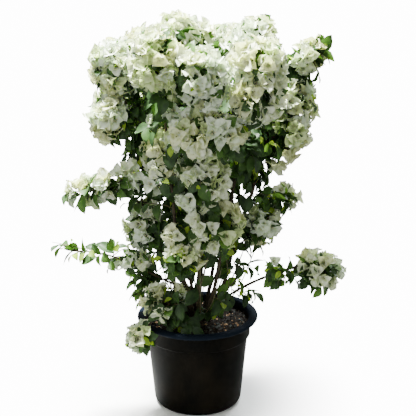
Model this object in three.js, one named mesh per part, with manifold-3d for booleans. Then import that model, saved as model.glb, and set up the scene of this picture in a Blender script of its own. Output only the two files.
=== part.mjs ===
// A white-flowered bougainvillea bush in a black plastic nursery pot.
// Millimetres, +Z up. The origin is the centre of the pot's flat underside, -Y is the front of the bush.
// Nine canes rise from one woody root crown and spread like a vase. Each mass of blossom or leaf grows
// from one stem, by a seeded rule, inside a space of its own.
import * as THREE from "three";
import { mergeVertices } from "three/addons/utils/BufferGeometryUtils.js";
import Module from "manifold-3d";

const wasm = await Module();
wasm.setup();

// Driving sizes of the pot
const POT_HEIGHT = 247;
const LIP_RADIUS = 160;
const LIP_DEPTH = 12;
const COLLAR_RADIUS = 140;
const COLLAR_FOOT = 190;
const WALL_TOP_RADIUS = 133.5;
const WALL_FOOT_RADIUS = 117.5;
const UNDERSIDE_RADIUS = 105.5;
const FOOT_ROUNDING = 18;
const WALL = 3;
const FLOOR = 4;
const POT_SIDES = 28;

// Driving sizes of the soil and the wood
const SEAT_GAP = 0.3;
const SOIL_GAP = 0.4;
const SOIL_TOP = 224;
const SOIL_BUMP = 2.5;
const ROOT_CROWN_RADIUS = 42;
const ROOT_CROWN_HEIGHT = 20;
const CANE_FOOT_HEIGHT = SOIL_TOP + 8;
const CANE_FOOT_CIRCLE = 20;
const BOUGH_FOOT_CIRCLE = 31;
const CANE_WAVER = 7;
const LIMB_SIDES = 5;
const LIMB_RINGS = 9;

// Driving sizes of the twigs, leaves and blooms. Each bloom stands for a small spray of them and each
// leaf for a few, so both are larger than life.
const SITE_AREA = 11600;
const BLOOM_INSET = 36;
const STEM_RADIUS = 3.2;
const STEM_END_RADIUS = 2.7;
const TWIG_RADIUS = 1.5;
const TWIG_TIP_RADIUS = 1.2;
const LEAF = { long: 80, wide: 54, thick: 2.8, droop: 10 };
const BLOOM = { long: 70, wide: 70, heart: 3, spread: 64 };
const SIZES_TRIED = [1, 0.85, 0.72, 0.6, 0.5];
const TURNS_TRIED = [0, 30, 60, 90];
// Leaves for each bloom site where a mass flowers all over, over part of its length, or not at all
const LEAFINESS = { full: 1, part: 1.4, none: 2.3 };
// A site that looks further than this into the crown is shaded, and has a leaf in place of a bloom
const SHADED = -0.6;
const SPACE_MARGIN = 0.02;
const LIMB_CLEARANCE = 2;
const GOLDEN_ANGLE = Math.PI * (3 - Math.sqrt(5));

const COLOURS = {
  pot: { color: 0x0c0d10, roughness: 0.55, metalness: 0 },
  soil: { color: 0x2a1d15, roughness: 1, metalness: 0 },
  bark: { color: 0x6b4f38, roughness: 0.9, metalness: 0 },
  blossom: { color: 0xe9ecdd, roughness: 0.7, metalness: 0 },
  leaf: { color: 0x24471f, roughness: 0.5, metalness: 0 },
};

// Canes: bearing of foot and tip in degrees (0 is right, 90 is back), then how far out and how high the tip is
const CANES = {
  left_cane: { foot: 190, tip: 185, out: 184, height: 850 },
  front_left_cane: { foot: 235, tip: 235, out: 150, height: 880 },
  front_cane: { foot: 278, tip: 270, out: 116, height: 838 },
  front_right_cane: { foot: 318, tip: 320, out: 152, height: 862 },
  right_cane: { foot: 358, tip: 360, out: 212, height: 885 },
  back_right_cane: { foot: 40, tip: 23, out: 131, height: 905 },
  back_cane: { foot: 85, tip: 66, out: 153, height: 858 },
  back_left_cane: { foot: 135, tip: 131, out: 172, height: 850 },
  centre_cane: { foot: 160, tip: 151, out: 63, height: 905 },
};

// Low boughs leave the root crown near the soil. Rise below 1 climbs early, and arch lifts the middle.
const BOUGHS = {
  right_low_bough: { foot: 18, tip: 3, out: 262, height: 370, rise: 0.65, arch: 0 },
  front_low_bough: { foot: 257, tip: 233, out: 78, height: 268, rise: 1, arch: 4 },
  hanging_bough: { foot: 212, tip: 222, out: 186, height: 238, rise: 1, arch: 46 },
};

// Masses: the limb they grow on and the height where their stem leaves it (or its tip), the place and
// half sizes of their space, the way its long side lies (bearing, pitch), and which share of it flowers.
const MASSES = {
  top_left: { on: "left_cane", at: "tip", bearing: 183, out: 194, height: 893, long: 76, wide: 70 },
  top_mid_left: {
    on: "centre_cane", at: "tip", bearing: 143, out: 60, height: 954, long: 104, wide: 70, lie: [180, 0],
  },
  top_mid_right: {
    on: "back_right_cane", at: "tip", bearing: 17, out: 148, height: 945, long: 74, wide: 70,
  },
  front_top_left: {
    on: "front_left_cane", at: "tip", bearing: 238, out: 172, height: 925, long: 74, wide: 72,
  },
  front_top: { on: "front_cane", at: "tip", bearing: 270, out: 158, height: 890, long: 82, wide: 78 },
  front_top_right: {
    on: "front_right_cane", at: "tip", bearing: 320, out: 180, height: 905, long: 76, wide: 74,
  },
  right_sprig: {
    on: "right_cane", at: "tip", bearing: 0, out: 252, height: 911, long: 90, wide: 43, lie: [0, 32],
  },
  far_right: {
    on: "right_cane", at: 700, bearing: 358, out: 230, height: 770, long: 108, wide: 68, lie: [0, 80],
  },
  front_right: {
    on: "front_right_cane", at: 740, bearing: 313, out: 202, height: 842, long: 68, wide: 64,
  },
  front_mid: {
    on: "front_cane", at: 680, bearing: 278, out: 167, height: 758, long: 112, wide: 70, lie: [0, 0],
  },
  upper_left: { on: "left_cane", at: 680, bearing: 187, out: 208, height: 775, long: 66, wide: 60 },
  left_leaves: {
    on: "left_cane", at: 620, bearing: 187, out: 142, height: 735, long: 118, wide: 50, lie: [0, 90],
    flowers: [2, 2],
  },
  left_centre: {
    on: "front_left_cane", at: 600, bearing: 222, out: 104, height: 690, long: 72, wide: 58,
  },
  right_centre: {
    on: "front_right_cane", at: 590, bearing: 330, out: 130, height: 700, long: 76, wide: 64,
    flowers: [2, 2],
  },
  right_leaves: {
    on: "right_cane", at: 540, bearing: 4, out: 163, height: 682, long: 100, wide: 52, lie: [0, 90],
    flowers: [2, 2],
  },
  centre_mid: { on: "front_cane", at: 540, bearing: 275, out: 136, height: 640, long: 80, wide: 76 },
  left_arm: {
    on: "left_cane", at: 530, bearing: 198, out: 230, height: 611, long: 132, wide: 48, lie: [184, -15],
    flowers: [-1, 1],
  },
  right_mid_sprig: {
    on: "right_cane", at: 470, bearing: 0, out: 200, height: 555, long: 70, wide: 50, lie: [0, 8],
    flowers: [0.3, 1],
  },
  right_bloom: {
    on: "front_right_cane", at: 400, bearing: 346, out: 166, height: 501, long: 54, wide: 47,
  },
  centre_low: { on: "front_cane", at: 430, bearing: 288, out: 126, height: 522, long: 78, wide: 76 },
  left_low: { on: "left_cane", at: 400, bearing: 185, out: 131, height: 492, long: 72, wide: 60 },
  low_left_sprig: {
    on: "left_cane", at: 330, bearing: 189, out: 240, height: 425, long: 160, wide: 44, lie: [184, 8],
    flowers: [-1, -0.25],
  },
  low_bloom: {
    on: "front_left_cane", at: 385, bearing: 254, out: 156, height: 440, long: 50, wide: 46,
  },
  right_low: {
    on: "right_low_bough", at: "tip", bearing: 3, out: 320, height: 359, long: 66, wide: 62,
  },
  front_low: {
    on: "front_low_bough", at: "tip", bearing: 228, out: 116, height: 310, long: 74, wide: 56,
    lie: [160, 0], flowers: [-0.45, 1],
  },
  hanging_bloom: {
    on: "hanging_bough", at: "tip", bearing: 224, out: 198, height: 236, long: 44, wide: 38,
    lie: [223, -70],
  },
  low_left_leaves: {
    on: "left_cane", at: 285, bearing: 184, out: 138, height: 335, long: 76, wide: 52, lie: [0, 90],
    flowers: [2, 2],
  },
  low_centre_leaves: {
    on: "right_cane", at: 290, bearing: 342, out: 104, height: 352, long: 76, wide: 58,
    lie: [0, 90], flowers: [2, 2],
  },
  back_top_left: {
    on: "back_left_cane", at: "tip", bearing: 130, out: 190, height: 900, long: 86, wide: 84,
  },
  back_top_right: {
    on: "back_cane", at: "tip", bearing: 66, out: 182, height: 904, long: 86, wide: 84,
  },
  back_right: {
    on: "back_right_cane", at: 730, bearing: 32, out: 218, height: 825, long: 80, wide: 76,
  },
  back_left: { on: "back_left_cane", at: 670, bearing: 150, out: 214, height: 778, long: 80, wide: 76 },
  back_mid: {
    on: "back_cane", at: 670, bearing: 78, out: 168, height: 755, long: 136, wide: 76, lie: [0, 0],
  },
  back_low: {
    on: "back_cane", at: 520, bearing: 99, out: 132, height: 605, long: 130, wide: 74, lie: [0, 0],
  },
  back_base: {
    on: "back_cane", at: 390, bearing: 82, out: 106, height: 475, long: 113, wide: 64, lie: [0, 0],
  },
  inner_leaves: {
    on: "centre_cane", at: 690, bearing: 90, out: 12, height: 815, long: 119, wide: 90, lie: [0, 90],
    flowers: [2, 2],
  },
  right_low_leaves: {
    on: "right_low_bough", at: 350, bearing: 3, out: 214, height: 352, long: 50, wide: 46, flowers: [2, 2],
  },
};

// A place from its distance out, its bearing in degrees and its height
function place(out, bearing, height) {
  const angle = THREE.MathUtils.degToRad(bearing);
  return new THREE.Vector3(out * Math.cos(angle), out * Math.sin(angle), height);
}

// A unit vector from a bearing and a pitch above the level, in degrees
function heading(bearing, pitch) {
  const up = THREE.MathUtils.degToRad(pitch);
  return place(Math.cos(up), bearing, Math.sin(up));
}

// The same random numbers from 0 to 1 each time, for one seed
function seededRandom(seed) {
  let state = seed >>> 0;
  return () => {
    state = (Math.imul(state, 1664525) + 1013904223) >>> 0;
    return state / 4294967296;
  };
}

// A closed geometry as a solid that can be joined and cut
function solidOf(geometry) {
  const bare = geometry.clone();
  bare.deleteAttribute("normal");
  bare.deleteAttribute("uv");
  const merged = mergeVertices(bare, 1e-4);
  const triangles = [];
  for (let i = 0; i < merged.index.count; i += 3) {
    const corners = [0, 1, 2].map((k) => merged.index.getX(i + k));
    if (new Set(corners).size === 3) triangles.push(...corners);
  }
  return new wasm.Manifold(
    new wasm.Mesh({
      numProp: 3,
      vertProperties: merged.attributes.position.array,
      triVerts: new Uint32Array(triangles),
    }),
  );
}

// A solid back as a geometry
function geometryOf(solid) {
  const mesh = solid.getMesh();
  const positions = new Float32Array(mesh.numVert * 3);
  for (let i = 0; i < mesh.numVert; i++) {
    positions.set(mesh.vertProperties.subarray(i * mesh.numProp, i * mesh.numProp + 3), i * 3);
  }
  const geometry = new THREE.BufferGeometry();
  geometry.setAttribute("position", new THREE.BufferAttribute(positions, 3));
  geometry.setIndex(new THREE.BufferAttribute(mesh.triVerts, 1));
  geometry.computeVertexNormals();
  return geometry;
}

function largestPiece(solid) {
  return solid.decompose().reduce((best, piece) => (piece.volume() > best.volume() ? piece : best));
}

function namedMesh(name, geometry, colour) {
  const mesh = new THREE.Mesh(geometry, new THREE.MeshStandardMaterial(COLOURS[colour]));
  mesh.name = name;
  return mesh;
}

// A profile of radius and height, turned about the upright axis
function turned(path, divisions) {
  const geometry = new THREE.LatheGeometry(path.getPoints(divisions), POT_SIDES);
  return geometry.rotateX(Math.PI / 2);
}

function potGeometry() {
  const lipUnderside = POT_HEIGHT - LIP_DEPTH;
  const roll = LIP_DEPTH / 2;
  const profile = new THREE.Path();
  profile.moveTo(0, 0);
  profile.lineTo(UNDERSIDE_RADIUS, 0);
  profile.quadraticCurveTo(WALL_FOOT_RADIUS - 2, 0, WALL_FOOT_RADIUS, FOOT_ROUNDING);
  profile.lineTo(WALL_TOP_RADIUS, COLLAR_FOOT - 2);
  profile.lineTo(COLLAR_RADIUS, COLLAR_FOOT + 2);
  profile.lineTo(COLLAR_RADIUS, lipUnderside);
  profile.lineTo(LIP_RADIUS - roll, lipUnderside);
  profile.absarc(LIP_RADIUS - roll, lipUnderside + roll, roll, -Math.PI / 2, Math.PI / 2, false);
  profile.lineTo(COLLAR_RADIUS + 5, POT_HEIGHT);
  profile.quadraticCurveTo(COLLAR_RADIUS - WALL, POT_HEIGHT, COLLAR_RADIUS - WALL, POT_HEIGHT - 8);
  profile.lineTo(COLLAR_RADIUS - WALL, COLLAR_FOOT + 2);
  profile.lineTo(WALL_TOP_RADIUS - WALL, COLLAR_FOOT - 2);
  profile.lineTo(WALL_FOOT_RADIUS - WALL, FOOT_ROUNDING);
  profile.lineTo(UNDERSIDE_RADIUS, FLOOR);
  profile.lineTo(0, FLOOR);
  return turned(profile, 2);
}

// The soil fills the pot. Its top is rough but for a level seat under the root crown.
function soilGeometry() {
  const inset = WALL + SOIL_GAP;
  const profile = new THREE.Path();
  profile.moveTo(0, FLOOR + SOIL_GAP);
  profile.lineTo(UNDERSIDE_RADIUS - SOIL_GAP, FLOOR + SOIL_GAP);
  profile.lineTo(WALL_FOOT_RADIUS - inset, FOOT_ROUNDING + SOIL_GAP);
  profile.lineTo(WALL_TOP_RADIUS - inset, COLLAR_FOOT - 2 + SOIL_GAP);
  profile.lineTo(COLLAR_RADIUS - inset, COLLAR_FOOT + 2 + SOIL_GAP);
  profile.lineTo(COLLAR_RADIUS - inset, SOIL_TOP);
  const topRings = [112, 84, 56];
  topRings.forEach((radius) => profile.lineTo(radius, SOIL_TOP));
  profile.lineTo(0, SOIL_TOP);
  const geometry = turned(profile, 1);
  const position = geometry.attributes.position;
  for (let i = 0; i < position.count; i++) {
    const x = position.getX(i);
    const y = position.getY(i);
    const rough = Math.hypot(x, y) > topRings.at(-1) + 1 && position.getZ(i) > SOIL_TOP - 1;
    const bump = Math.sin(x / 11 + 1) * Math.cos(y / 13) + Math.sin((x + y) / 7) * 0.6;
    if (rough) position.setZ(i, SOIL_TOP + SOIL_BUMP * bump);
  }
  return geometry;
}

// The line of a limb from the root crown to its tip, spreading outwards as it climbs
function limbCurve(limb, index, isCane) {
  const random = seededRandom(101 + 17 * index);
  const footCircle = isCane ? CANE_FOOT_CIRCLE : BOUGH_FOOT_CIRCLE;
  const circle = limb === CANES.centre_cane ? 0 : footCircle;
  const spread = isCane ? 0.72 : 1;
  const steps = 7;
  const points = [];
  for (let k = 0; k <= steps; k++) {
    const t = k / steps;
    const out = circle + (limb.out - circle) * t ** spread;
    const bearing = limb.foot + (limb.tip - limb.foot) * t;
    const climb = (limb.height - CANE_FOOT_HEIGHT) * t ** (limb.rise ?? 1);
    const height = CANE_FOOT_HEIGHT + climb + (limb.arch ?? 0) * Math.sin(Math.PI * t);
    const waver = isCane ? CANE_WAVER * Math.sin(Math.PI * t) : 0;
    const point = place(out, bearing, height);
    point.x += waver * (2 * random() - 1);
    point.y += waver * (2 * random() - 1);
    points.push(point);
  }
  return new THREE.CatmullRomCurve3(points);
}

// A tapering limb along a curve: a cylinder whose rings are moved onto the curve
function limbGeometry(curve, radiusAt, sides, rings, longer = 0) {
  const geometry = new THREE.CylinderGeometry(1, 1, 1, sides, rings);
  const frames = curve.computeFrenetFrames(rings);
  const centres = curve.getSpacedPoints(rings);
  const position = geometry.attributes.position;
  for (let i = 0; i < position.count; i++) {
    const share = position.getY(i) + 0.5;
    const ring = Math.round(share * rings);
    const radius = radiusAt(share);
    const beyond = ring === 0 ? -longer : ring === rings ? longer : 0;
    const point = centres[ring].clone().addScaledVector(frames.tangents[ring], beyond);
    point.addScaledVector(frames.binormals[ring], position.getX(i) * radius);
    point.addScaledVector(frames.normals[ring], position.getZ(i) * radius);
    position.setXYZ(i, point.x, point.y, point.z);
  }
  return geometry;
}

// A twig of three sides that ends in a leaf: its last rings are flattened and drawn out to a blade
// that droops to its tip. The upper side looks the way of face.
function leafGeometry(start, way, reach, face, scale) {
  const side = new THREE.Vector3().crossVectors(way, face).normalize();
  const up = new THREE.Vector3().crossVectors(side, way);
  const [long, wide] = [LEAF.long * scale, LEAF.wide * scale];
  const twig = Math.max(reach - long, 6);
  const rings = [
    { forward: 0, across: TWIG_RADIUS, thick: TWIG_RADIUS, drop: 0 },
    { forward: twig, across: TWIG_TIP_RADIUS, thick: TWIG_TIP_RADIUS, drop: 0 },
    { forward: twig + 0.42 * long, across: wide / Math.sqrt(3), thick: LEAF.thick / 1.5, drop: 0 },
    { forward: twig + long, across: 0, thick: 0, drop: LEAF.droop },
  ];
  const geometry = new THREE.CylinderGeometry(1, 1, 1, 3, 3);
  const position = geometry.attributes.position;
  for (let i = 0; i < position.count; i++) {
    const ring = rings[Math.round((position.getY(i) + 0.5) * 3)];
    const point = start.clone().addScaledVector(way, ring.forward);
    point.addScaledVector(side, position.getX(i) * ring.across);
    point.addScaledVector(up, position.getZ(i) * ring.thick - ring.drop);
    position.setXYZ(i, point.x, point.y, point.z);
  }
  return geometry;
}

// Each limb with its curve, its radius along it, and points along it for tests of clearance
const limbs = {};
[...Object.entries(CANES), ...Object.entries(BOUGHS)].forEach(([name, limb], index) => {
  const isCane = name in CANES;
  const curve = limbCurve(limb, index, isCane);
  const footRadius = isCane ? 4.8 : 3.6;
  const flare = isCane ? 1.2 : 0.6;
  const radiusAt = (t) => STEM_RADIUS + (footRadius - STEM_RADIUS) * (1 - t) + flare * Math.exp(-t * 16);
  limbs[name] = { curve, radiusAt, points: curve.getSpacedPoints(90) };
});

// The axis and side ways of a mass's space, and the stem that carries its twigs
function layOut(name, mass, index) {
  const limb = limbs[mass.on];
  const centre = place(mass.out, mass.bearing, mass.height);
  const fromTip = mass.at === "tip";
  const nearest = limb.points.reduce((best, point) =>
    Math.abs(point.z - mass.at) < Math.abs(best.z - mass.at) ? point : best,
  );
  const tipWay = limb.curve.getTangentAt(1);
  const root = fromTip
    ? limb.curve.getPointAt(1).addScaledVector(tipWay, SEAT_GAP)
    : nearest.clone();
  const inward = new THREE.Vector3().subVectors(centre, root);
  const axis = mass.lie ? heading(...mass.lie) : inward.clone().normalize();
  if (axis.dot(inward) < 0) axis.negate();
  const runsThrough = axis.dot(inward) > 0.6 * inward.length();
  const end = runsThrough
    ? centre.clone().addScaledVector(axis, 0.55 * mass.long)
    : centre.clone().addScaledVector(inward.clone().normalize(), 0.25 * mass.wide);
  const points = [root];
  if (fromTip) points.push(root.clone().addScaledVector(tipWay, 14));
  points.push(centre, end);
  const stem = new THREE.CatmullRomCurve3(points);
  const side = new THREE.Vector3(0, 0, 1).cross(axis);
  if (side.length() < 0.1) side.set(1, 0, 0);
  side.normalize();
  const rise = new THREE.Vector3().crossVectors(axis, side);
  return { name, index, ...mass, seed: 7 + 31 * index, centre, axis, side, rise, stem, fromTip, limb };
}

const spaces = Object.entries(MASSES).map(([name, mass], index) => layOut(name, mass, index));

// 0 at the middle of a space and 1 at its skin
function depthIn(space, point) {
  const away = new THREE.Vector3().subVectors(point, space.centre);
  const along = away.dot(space.axis) / space.long;
  const across = Math.hypot(away.dot(space.side), away.dot(space.rise)) / space.wide;
  return Math.hypot(along, across);
}

// A point is a mass's own where it is inside the space and deeper in it than in any other
function isOwn(space, point) {
  const depth = depthIn(space, point);
  if (depth > 1) return false;
  return spaces.every((other) => other === space || depthIn(other, point) > depth + SPACE_MARGIN);
}

function clearOfPot(point) {
  const out = Math.hypot(point.x, point.y);
  const overLip = point.z > POT_HEIGHT + 3;
  const overSoil = out < COLLAR_RADIUS - WALL - 6 && point.z > SOIL_TOP + SOIL_BUMP * 2 + 2;
  return overLip || overSoil || out > LIP_RADIUS + 3;
}

// The limbs and all stems, grown by a clearance, that blooms and leaves keep off
const stemRadius = (t) => STEM_RADIUS - (STEM_RADIUS - STEM_END_RADIUS) * t;
const keptOff = Object.keys(limbs).map((name) => ({ solid: limbSolid(name, LIMB_CLEARANCE) }));
const stemLines = spaces.map((space) => space.stem.getSpacedPoints(30));
for (const space of spaces) {
  const geometry = limbGeometry(space.stem, (t) => stemRadius(t) + LIMB_CLEARANCE, 4, 3);
  keptOff.push({ space, solid: solidOf(geometry) });
}

// True where a solid meets no limb and no other mass's stem
function clearOfWood(space, solid) {
  return keptOff.every((wood) => wood.space === space || solid.intersect(wood.solid).isEmpty());
}

// True where the outer corners of a bloom or leaf, and the middles between them, keep to the mass's space
function fits(space, geometry) {
  const position = geometry.attributes.position;
  const corners = [];
  for (let i = 0; i < position.count; i++) {
    const corner = new THREE.Vector3().fromBufferAttribute(position, i);
    if (stemLines[space.index].every((spot) => spot.distanceTo(corner) > 8)) corners.push(corner);
  }
  const middles = corners.map((c, i) => c.clone().lerp(corners[(i + 1) % corners.length], 0.5));
  return [...corners, ...middles].every((point) => isOwn(space, point) && clearOfPot(point));
}

// True where a twig keeps to its space, or near the space's middle, and clear of the other wood
function twigFits(space, line, twig) {
  const points = line.getPoints(10).slice(1);
  return (
    points.every((point) => isOwn(space, point) || depthIn(space, point) < 0.5) &&
    clearOfWood(space, twig)
  );
}

// Places spread evenly over a space by the golden angle, from its far end to its foot
function sitesOf(space, count, turned, inset, random) {
  const sites = [];
  for (let i = 0; i < count; i++) {
    const along = 1 - (2 * i + 1) / count;
    const turn = turned + i * GOLDEN_ANGLE + 0.6 * random();
    const across = Math.sqrt(1 - along * along);
    const shrink = 0.9 + 0.16 * random();
    const ways = [space.axis, space.side, space.rise];
    const shares = [along, across * Math.cos(turn), across * Math.sin(turn)];
    const halves = [space.long, space.wide, space.wide];
    const end = space.centre.clone();
    const outward = new THREE.Vector3();
    ways.forEach((way, k) => {
      end.addScaledVector(way, shares[k] * (halves[k] - inset) * shrink);
      outward.addScaledVector(way, shares[k] / halves[k]);
    });
    sites.push({ end, outward: outward.normalize(), along, start: 0.94 - (0.5 * i) / count });
  }
  return sites;
}

function isShaded(site) {
  const away = new THREE.Vector3(site.end.x, site.end.y, 0).normalize();
  return site.outward.dot(away) < SHADED;
}

// A twig bows out of the stem, forwards first and then to its end
function twigCurve(space, site) {
  const start = space.stem.getPointAt(site.start);
  const forward = space.stem.getTangentAt(site.start);
  const reach = start.distanceTo(site.end);
  const elbow = start.clone().lerp(site.end, 0.45).addScaledVector(forward, 0.1 * reach);
  return new THREE.QuadraticBezierCurve3(start, elbow, site.end);
}

// A bloom of three bracts: a flat double cone of nine sides whose rim is drawn out to three broad
// pointed lobes that lean the way the bloom looks. Its twig enters beside its middle.
function bloomGeometry(end, look, turn, scale) {
  const level = Math.abs(look.z) < 0.9 ? new THREE.Vector3(0, 0, 1) : new THREE.Vector3(1, 0, 0);
  const first = new THREE.Vector3().crossVectors(look, level).normalize().applyAxisAngle(look, turn);
  const second = new THREE.Vector3().crossVectors(first, look);
  const heart = end.clone().addScaledVector(first, -4).addScaledVector(second, -2);
  const spread = THREE.MathUtils.degToRad(BLOOM.spread);
  const geometry = new THREE.SphereGeometry(1, 9, 2);
  const position = geometry.attributes.position;
  for (let i = 0; i < position.count; i++) {
    const [x, y, z] = [position.getX(i), position.getY(i), position.getZ(i)];
    const point = heart.clone().addScaledVector(look, y * BLOOM.heart);
    if (Math.abs(y) < 0.5) {
      const step = Math.round((Math.atan2(z, x) * 4.5) / Math.PI) + 9;
      const corner = ((step + 1) % 3) - 1;
      const middle = ((step - corner) * Math.PI) / 4.5;
      const away = first.clone().multiplyScalar(Math.cos(middle)).addScaledVector(second, Math.sin(middle));
      const aside = new THREE.Vector3().crossVectors(look, away);
      const forward = BLOOM.long * scale * (corner === 0 ? 1 : 0.5);
      const sideways = -corner * 0.5 * BLOOM.wide * scale;
      point.addScaledVector(look, forward * Math.cos(spread));
      point.addScaledVector(away, forward * Math.sin(spread)).addScaledVector(aside, sideways);
    }
    position.setXYZ(i, point.x, point.y, point.z);
  }
  return geometry;
}

// The first bloom, over the sizes and turns tried, that keeps to its space and crosses nothing
function firstFit(space, others, make) {
  for (const scale of SIZES_TRIED) {
    for (const turn of TURNS_TRIED) {
      const geometry = make(scale, THREE.MathUtils.degToRad(turn));
      if (!fits(space, geometry)) continue;
      const solid = solidOf(geometry);
      const alone = others.every((other) => solid.intersect(other).isEmpty());
      if (alone && clearOfWood(space, solid)) return solid;
    }
  }
  return null;
}

// One mass: its stem, a twig to each bloom, and leaves on twigs of their own between the blooms
function massSolid(space) {
  const random = seededRandom(space.seed);
  const skin = 4 * Math.PI * space.wide * (0.35 * space.wide + 0.65 * space.long);
  const count = Math.max(4, Math.round(skin / SITE_AREA));
  const flowers = space.flowers ?? [-1, 1];
  const twigRadius = (t) => TWIG_RADIUS - (TWIG_RADIUS - TWIG_TIP_RADIUS) * t;
  const stem = solidOf(limbGeometry(space.stem, stemRadius, 4, 3));
  const twigs = [];
  const blades = [];
  const shadedSites = [];
  for (const site of sitesOf(space, count, 0, BLOOM_INSET, random)) {
    const look = site.outward.clone();
    look.z += 0.15 + 0.3 * random();
    look.normalize();
    const turn = 2 * random();
    if (site.along < flowers[0] || site.along > flowers[1]) continue;
    if (isShaded(site)) {
      shadedSites.push(site);
      continue;
    }
    const twigLine = twigCurve(space, site);
    const twig = solidOf(limbGeometry(twigLine, twigRadius, 3, 2));
    const crosses = blades.some((blade) => !twig.intersect(blade).isEmpty());
    if (crosses || !twigFits(space, twigLine, twig)) continue;
    const bloom = firstFit(space, [...blades, ...twigs, stem], (scale, more) =>
      bloomGeometry(site.end, look, turn + more, scale),
    );
    if (!bloom) continue;
    twigs.push(twig);
    blades.push(bloom);
  }
  const leafShare = !space.flowers ? LEAFINESS.full : flowers[0] > 1 ? LEAFINESS.none : LEAFINESS.part;
  const leafSites = sitesOf(space, Math.round(count * leafShare), 1.5, 2, random);
  for (const site of [...leafSites, ...shadedSites]) {
    const start = space.stem.getPointAt(Math.min(site.start, 0.97));
    const reach = start.distanceTo(site.end);
    const way = new THREE.Vector3().subVectors(site.end, start).normalize();
    const face = new THREE.Vector3(0.3 * random(), 0.3 * random(), 1);
    const leaf = firstFit(space, blades, (scale, more) =>
      leafGeometry(start, way, reach, face.clone().applyAxisAngle(way, more), scale),
    );
    if (leaf) blades.push(leaf);
  }
  let mass = wasm.Manifold.union([stem, ...twigs, ...blades]);
  if (!space.fromTip) mass = mass.subtract(limbSolid(space.on, SEAT_GAP));
  return largestPiece(mass.simplify(0.02));
}

// A limb as a solid, grown on all sides by a clearance where it cuts its own seat
function limbSolid(name, grown) {
  const { curve, radiusAt } = limbs[name];
  const geometry = limbGeometry(curve, (t) => radiusAt(t) + grown, LIMB_SIDES, LIMB_RINGS, grown);
  return solidOf(geometry);
}

// The woody root crown stands on the soil, with a socket for the foot of each cane and low bough
function rootCrownSolid() {
  const base = SOIL_TOP + SEAT_GAP;
  const profile = new THREE.Path();
  profile.moveTo(0, base);
  profile.lineTo(ROOT_CROWN_RADIUS, base);
  profile.quadraticCurveTo(
    ROOT_CROWN_RADIUS * 0.72,
    base + ROOT_CROWN_HEIGHT * 0.5,
    ROOT_CROWN_RADIUS * 0.6,
    base + ROOT_CROWN_HEIGHT * 0.9,
  );
  profile.lineTo(0, base + ROOT_CROWN_HEIGHT);
  const geometry = new THREE.LatheGeometry(profile.getPoints(2), 12).rotateX(Math.PI / 2);
  const sockets = Object.keys(limbs).map((name) => limbSolid(name, SEAT_GAP));
  return largestPiece(solidOf(geometry).subtract(wasm.Manifold.union(sockets)));
}

const bush = new THREE.Group();
const pot = new THREE.Group();
const wood = new THREE.Group();
const crown = new THREE.Group();
pot.add(namedMesh("pot", potGeometry(), "pot"));
pot.add(namedMesh("soil", soilGeometry(), "soil"));
wood.add(namedMesh("root_crown", geometryOf(rootCrownSolid()), "bark"));
for (const name of Object.keys(limbs)) {
  wood.add(namedMesh(name, geometryOf(limbSolid(name, 0)), "bark"));
}
for (const space of spaces) {
  const colour = space.flowers?.[0] > 1 ? "leaf" : "blossom";
  crown.add(namedMesh(`${space.name}_mass`, geometryOf(massSolid(space)), colour));
}
bush.add(pot, wood, crown);

export default bush;
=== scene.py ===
# %% [markdown]
# # A white bougainvillea in its nursery pot
# The measured solids of the bush are loaded first and stay where they are. Everything that shows is
# built over them in metres, in the same frame: +Z is up, the origin is the middle of the pot's flat
# underside and -Y is the side that faces the camera. The sizes that shape the bush are the solids' own,
# in millimetres, because stems, leaves and pots are usually measured so.

# %% Load the frame
import math
import bmesh
import bpy
import numpy as np
from mathutils import Matrix, Vector


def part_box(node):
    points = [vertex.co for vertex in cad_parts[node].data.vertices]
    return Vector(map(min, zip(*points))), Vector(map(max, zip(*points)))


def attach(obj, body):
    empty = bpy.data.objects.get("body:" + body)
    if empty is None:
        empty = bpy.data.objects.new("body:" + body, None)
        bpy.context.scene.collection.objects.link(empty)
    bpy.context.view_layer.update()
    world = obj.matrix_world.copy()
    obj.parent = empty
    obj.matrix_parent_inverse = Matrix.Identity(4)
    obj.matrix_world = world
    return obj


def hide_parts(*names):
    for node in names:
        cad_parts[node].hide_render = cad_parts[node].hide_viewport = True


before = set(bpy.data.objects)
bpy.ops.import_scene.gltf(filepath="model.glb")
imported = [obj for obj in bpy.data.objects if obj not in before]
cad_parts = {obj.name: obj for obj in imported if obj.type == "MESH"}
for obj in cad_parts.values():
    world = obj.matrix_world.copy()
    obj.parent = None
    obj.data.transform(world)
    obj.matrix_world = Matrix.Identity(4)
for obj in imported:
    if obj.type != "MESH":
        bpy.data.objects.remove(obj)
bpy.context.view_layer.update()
MM = 0.001

# %% [markdown]
# The photograph looks a little down on the bush from about two metres. A camera is easiest to place by
# its lens and its tilt: a 79 mm lens on the default sensor, 16 degrees down, gives the same ellipse at
# the pot's rim. Turning it by less than a degree puts the pot left of the middle, as in the photograph.

# %% Camera
CAMERA_AWAY = 2.262
CAMERA_HEIGHT = 1.185
CAMERA_TILT = 16.0
CAMERA_TURN = 0.7
LENS = 79.0

camera = bpy.data.objects.new("camera", bpy.data.cameras.new("camera"))
camera.data.lens = LENS
camera.location = (0, -CAMERA_AWAY, CAMERA_HEIGHT)
camera.rotation_euler = (math.radians(90 - CAMERA_TILT), 0, math.radians(-CAMERA_TURN))
bpy.context.scene.collection.objects.link(camera)
bpy.context.scene.camera = camera
print("camera", tuple(round(v, 3) for v in camera.location))

# %% [markdown]
# A small strong lamp high above, a little behind and to the left, lights the blossom like the sun. A
# weak one from the front left opens the shadows, one from behind on the right edges the crown with
# cool light, and a narrow one picks out the long left arm.

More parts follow.
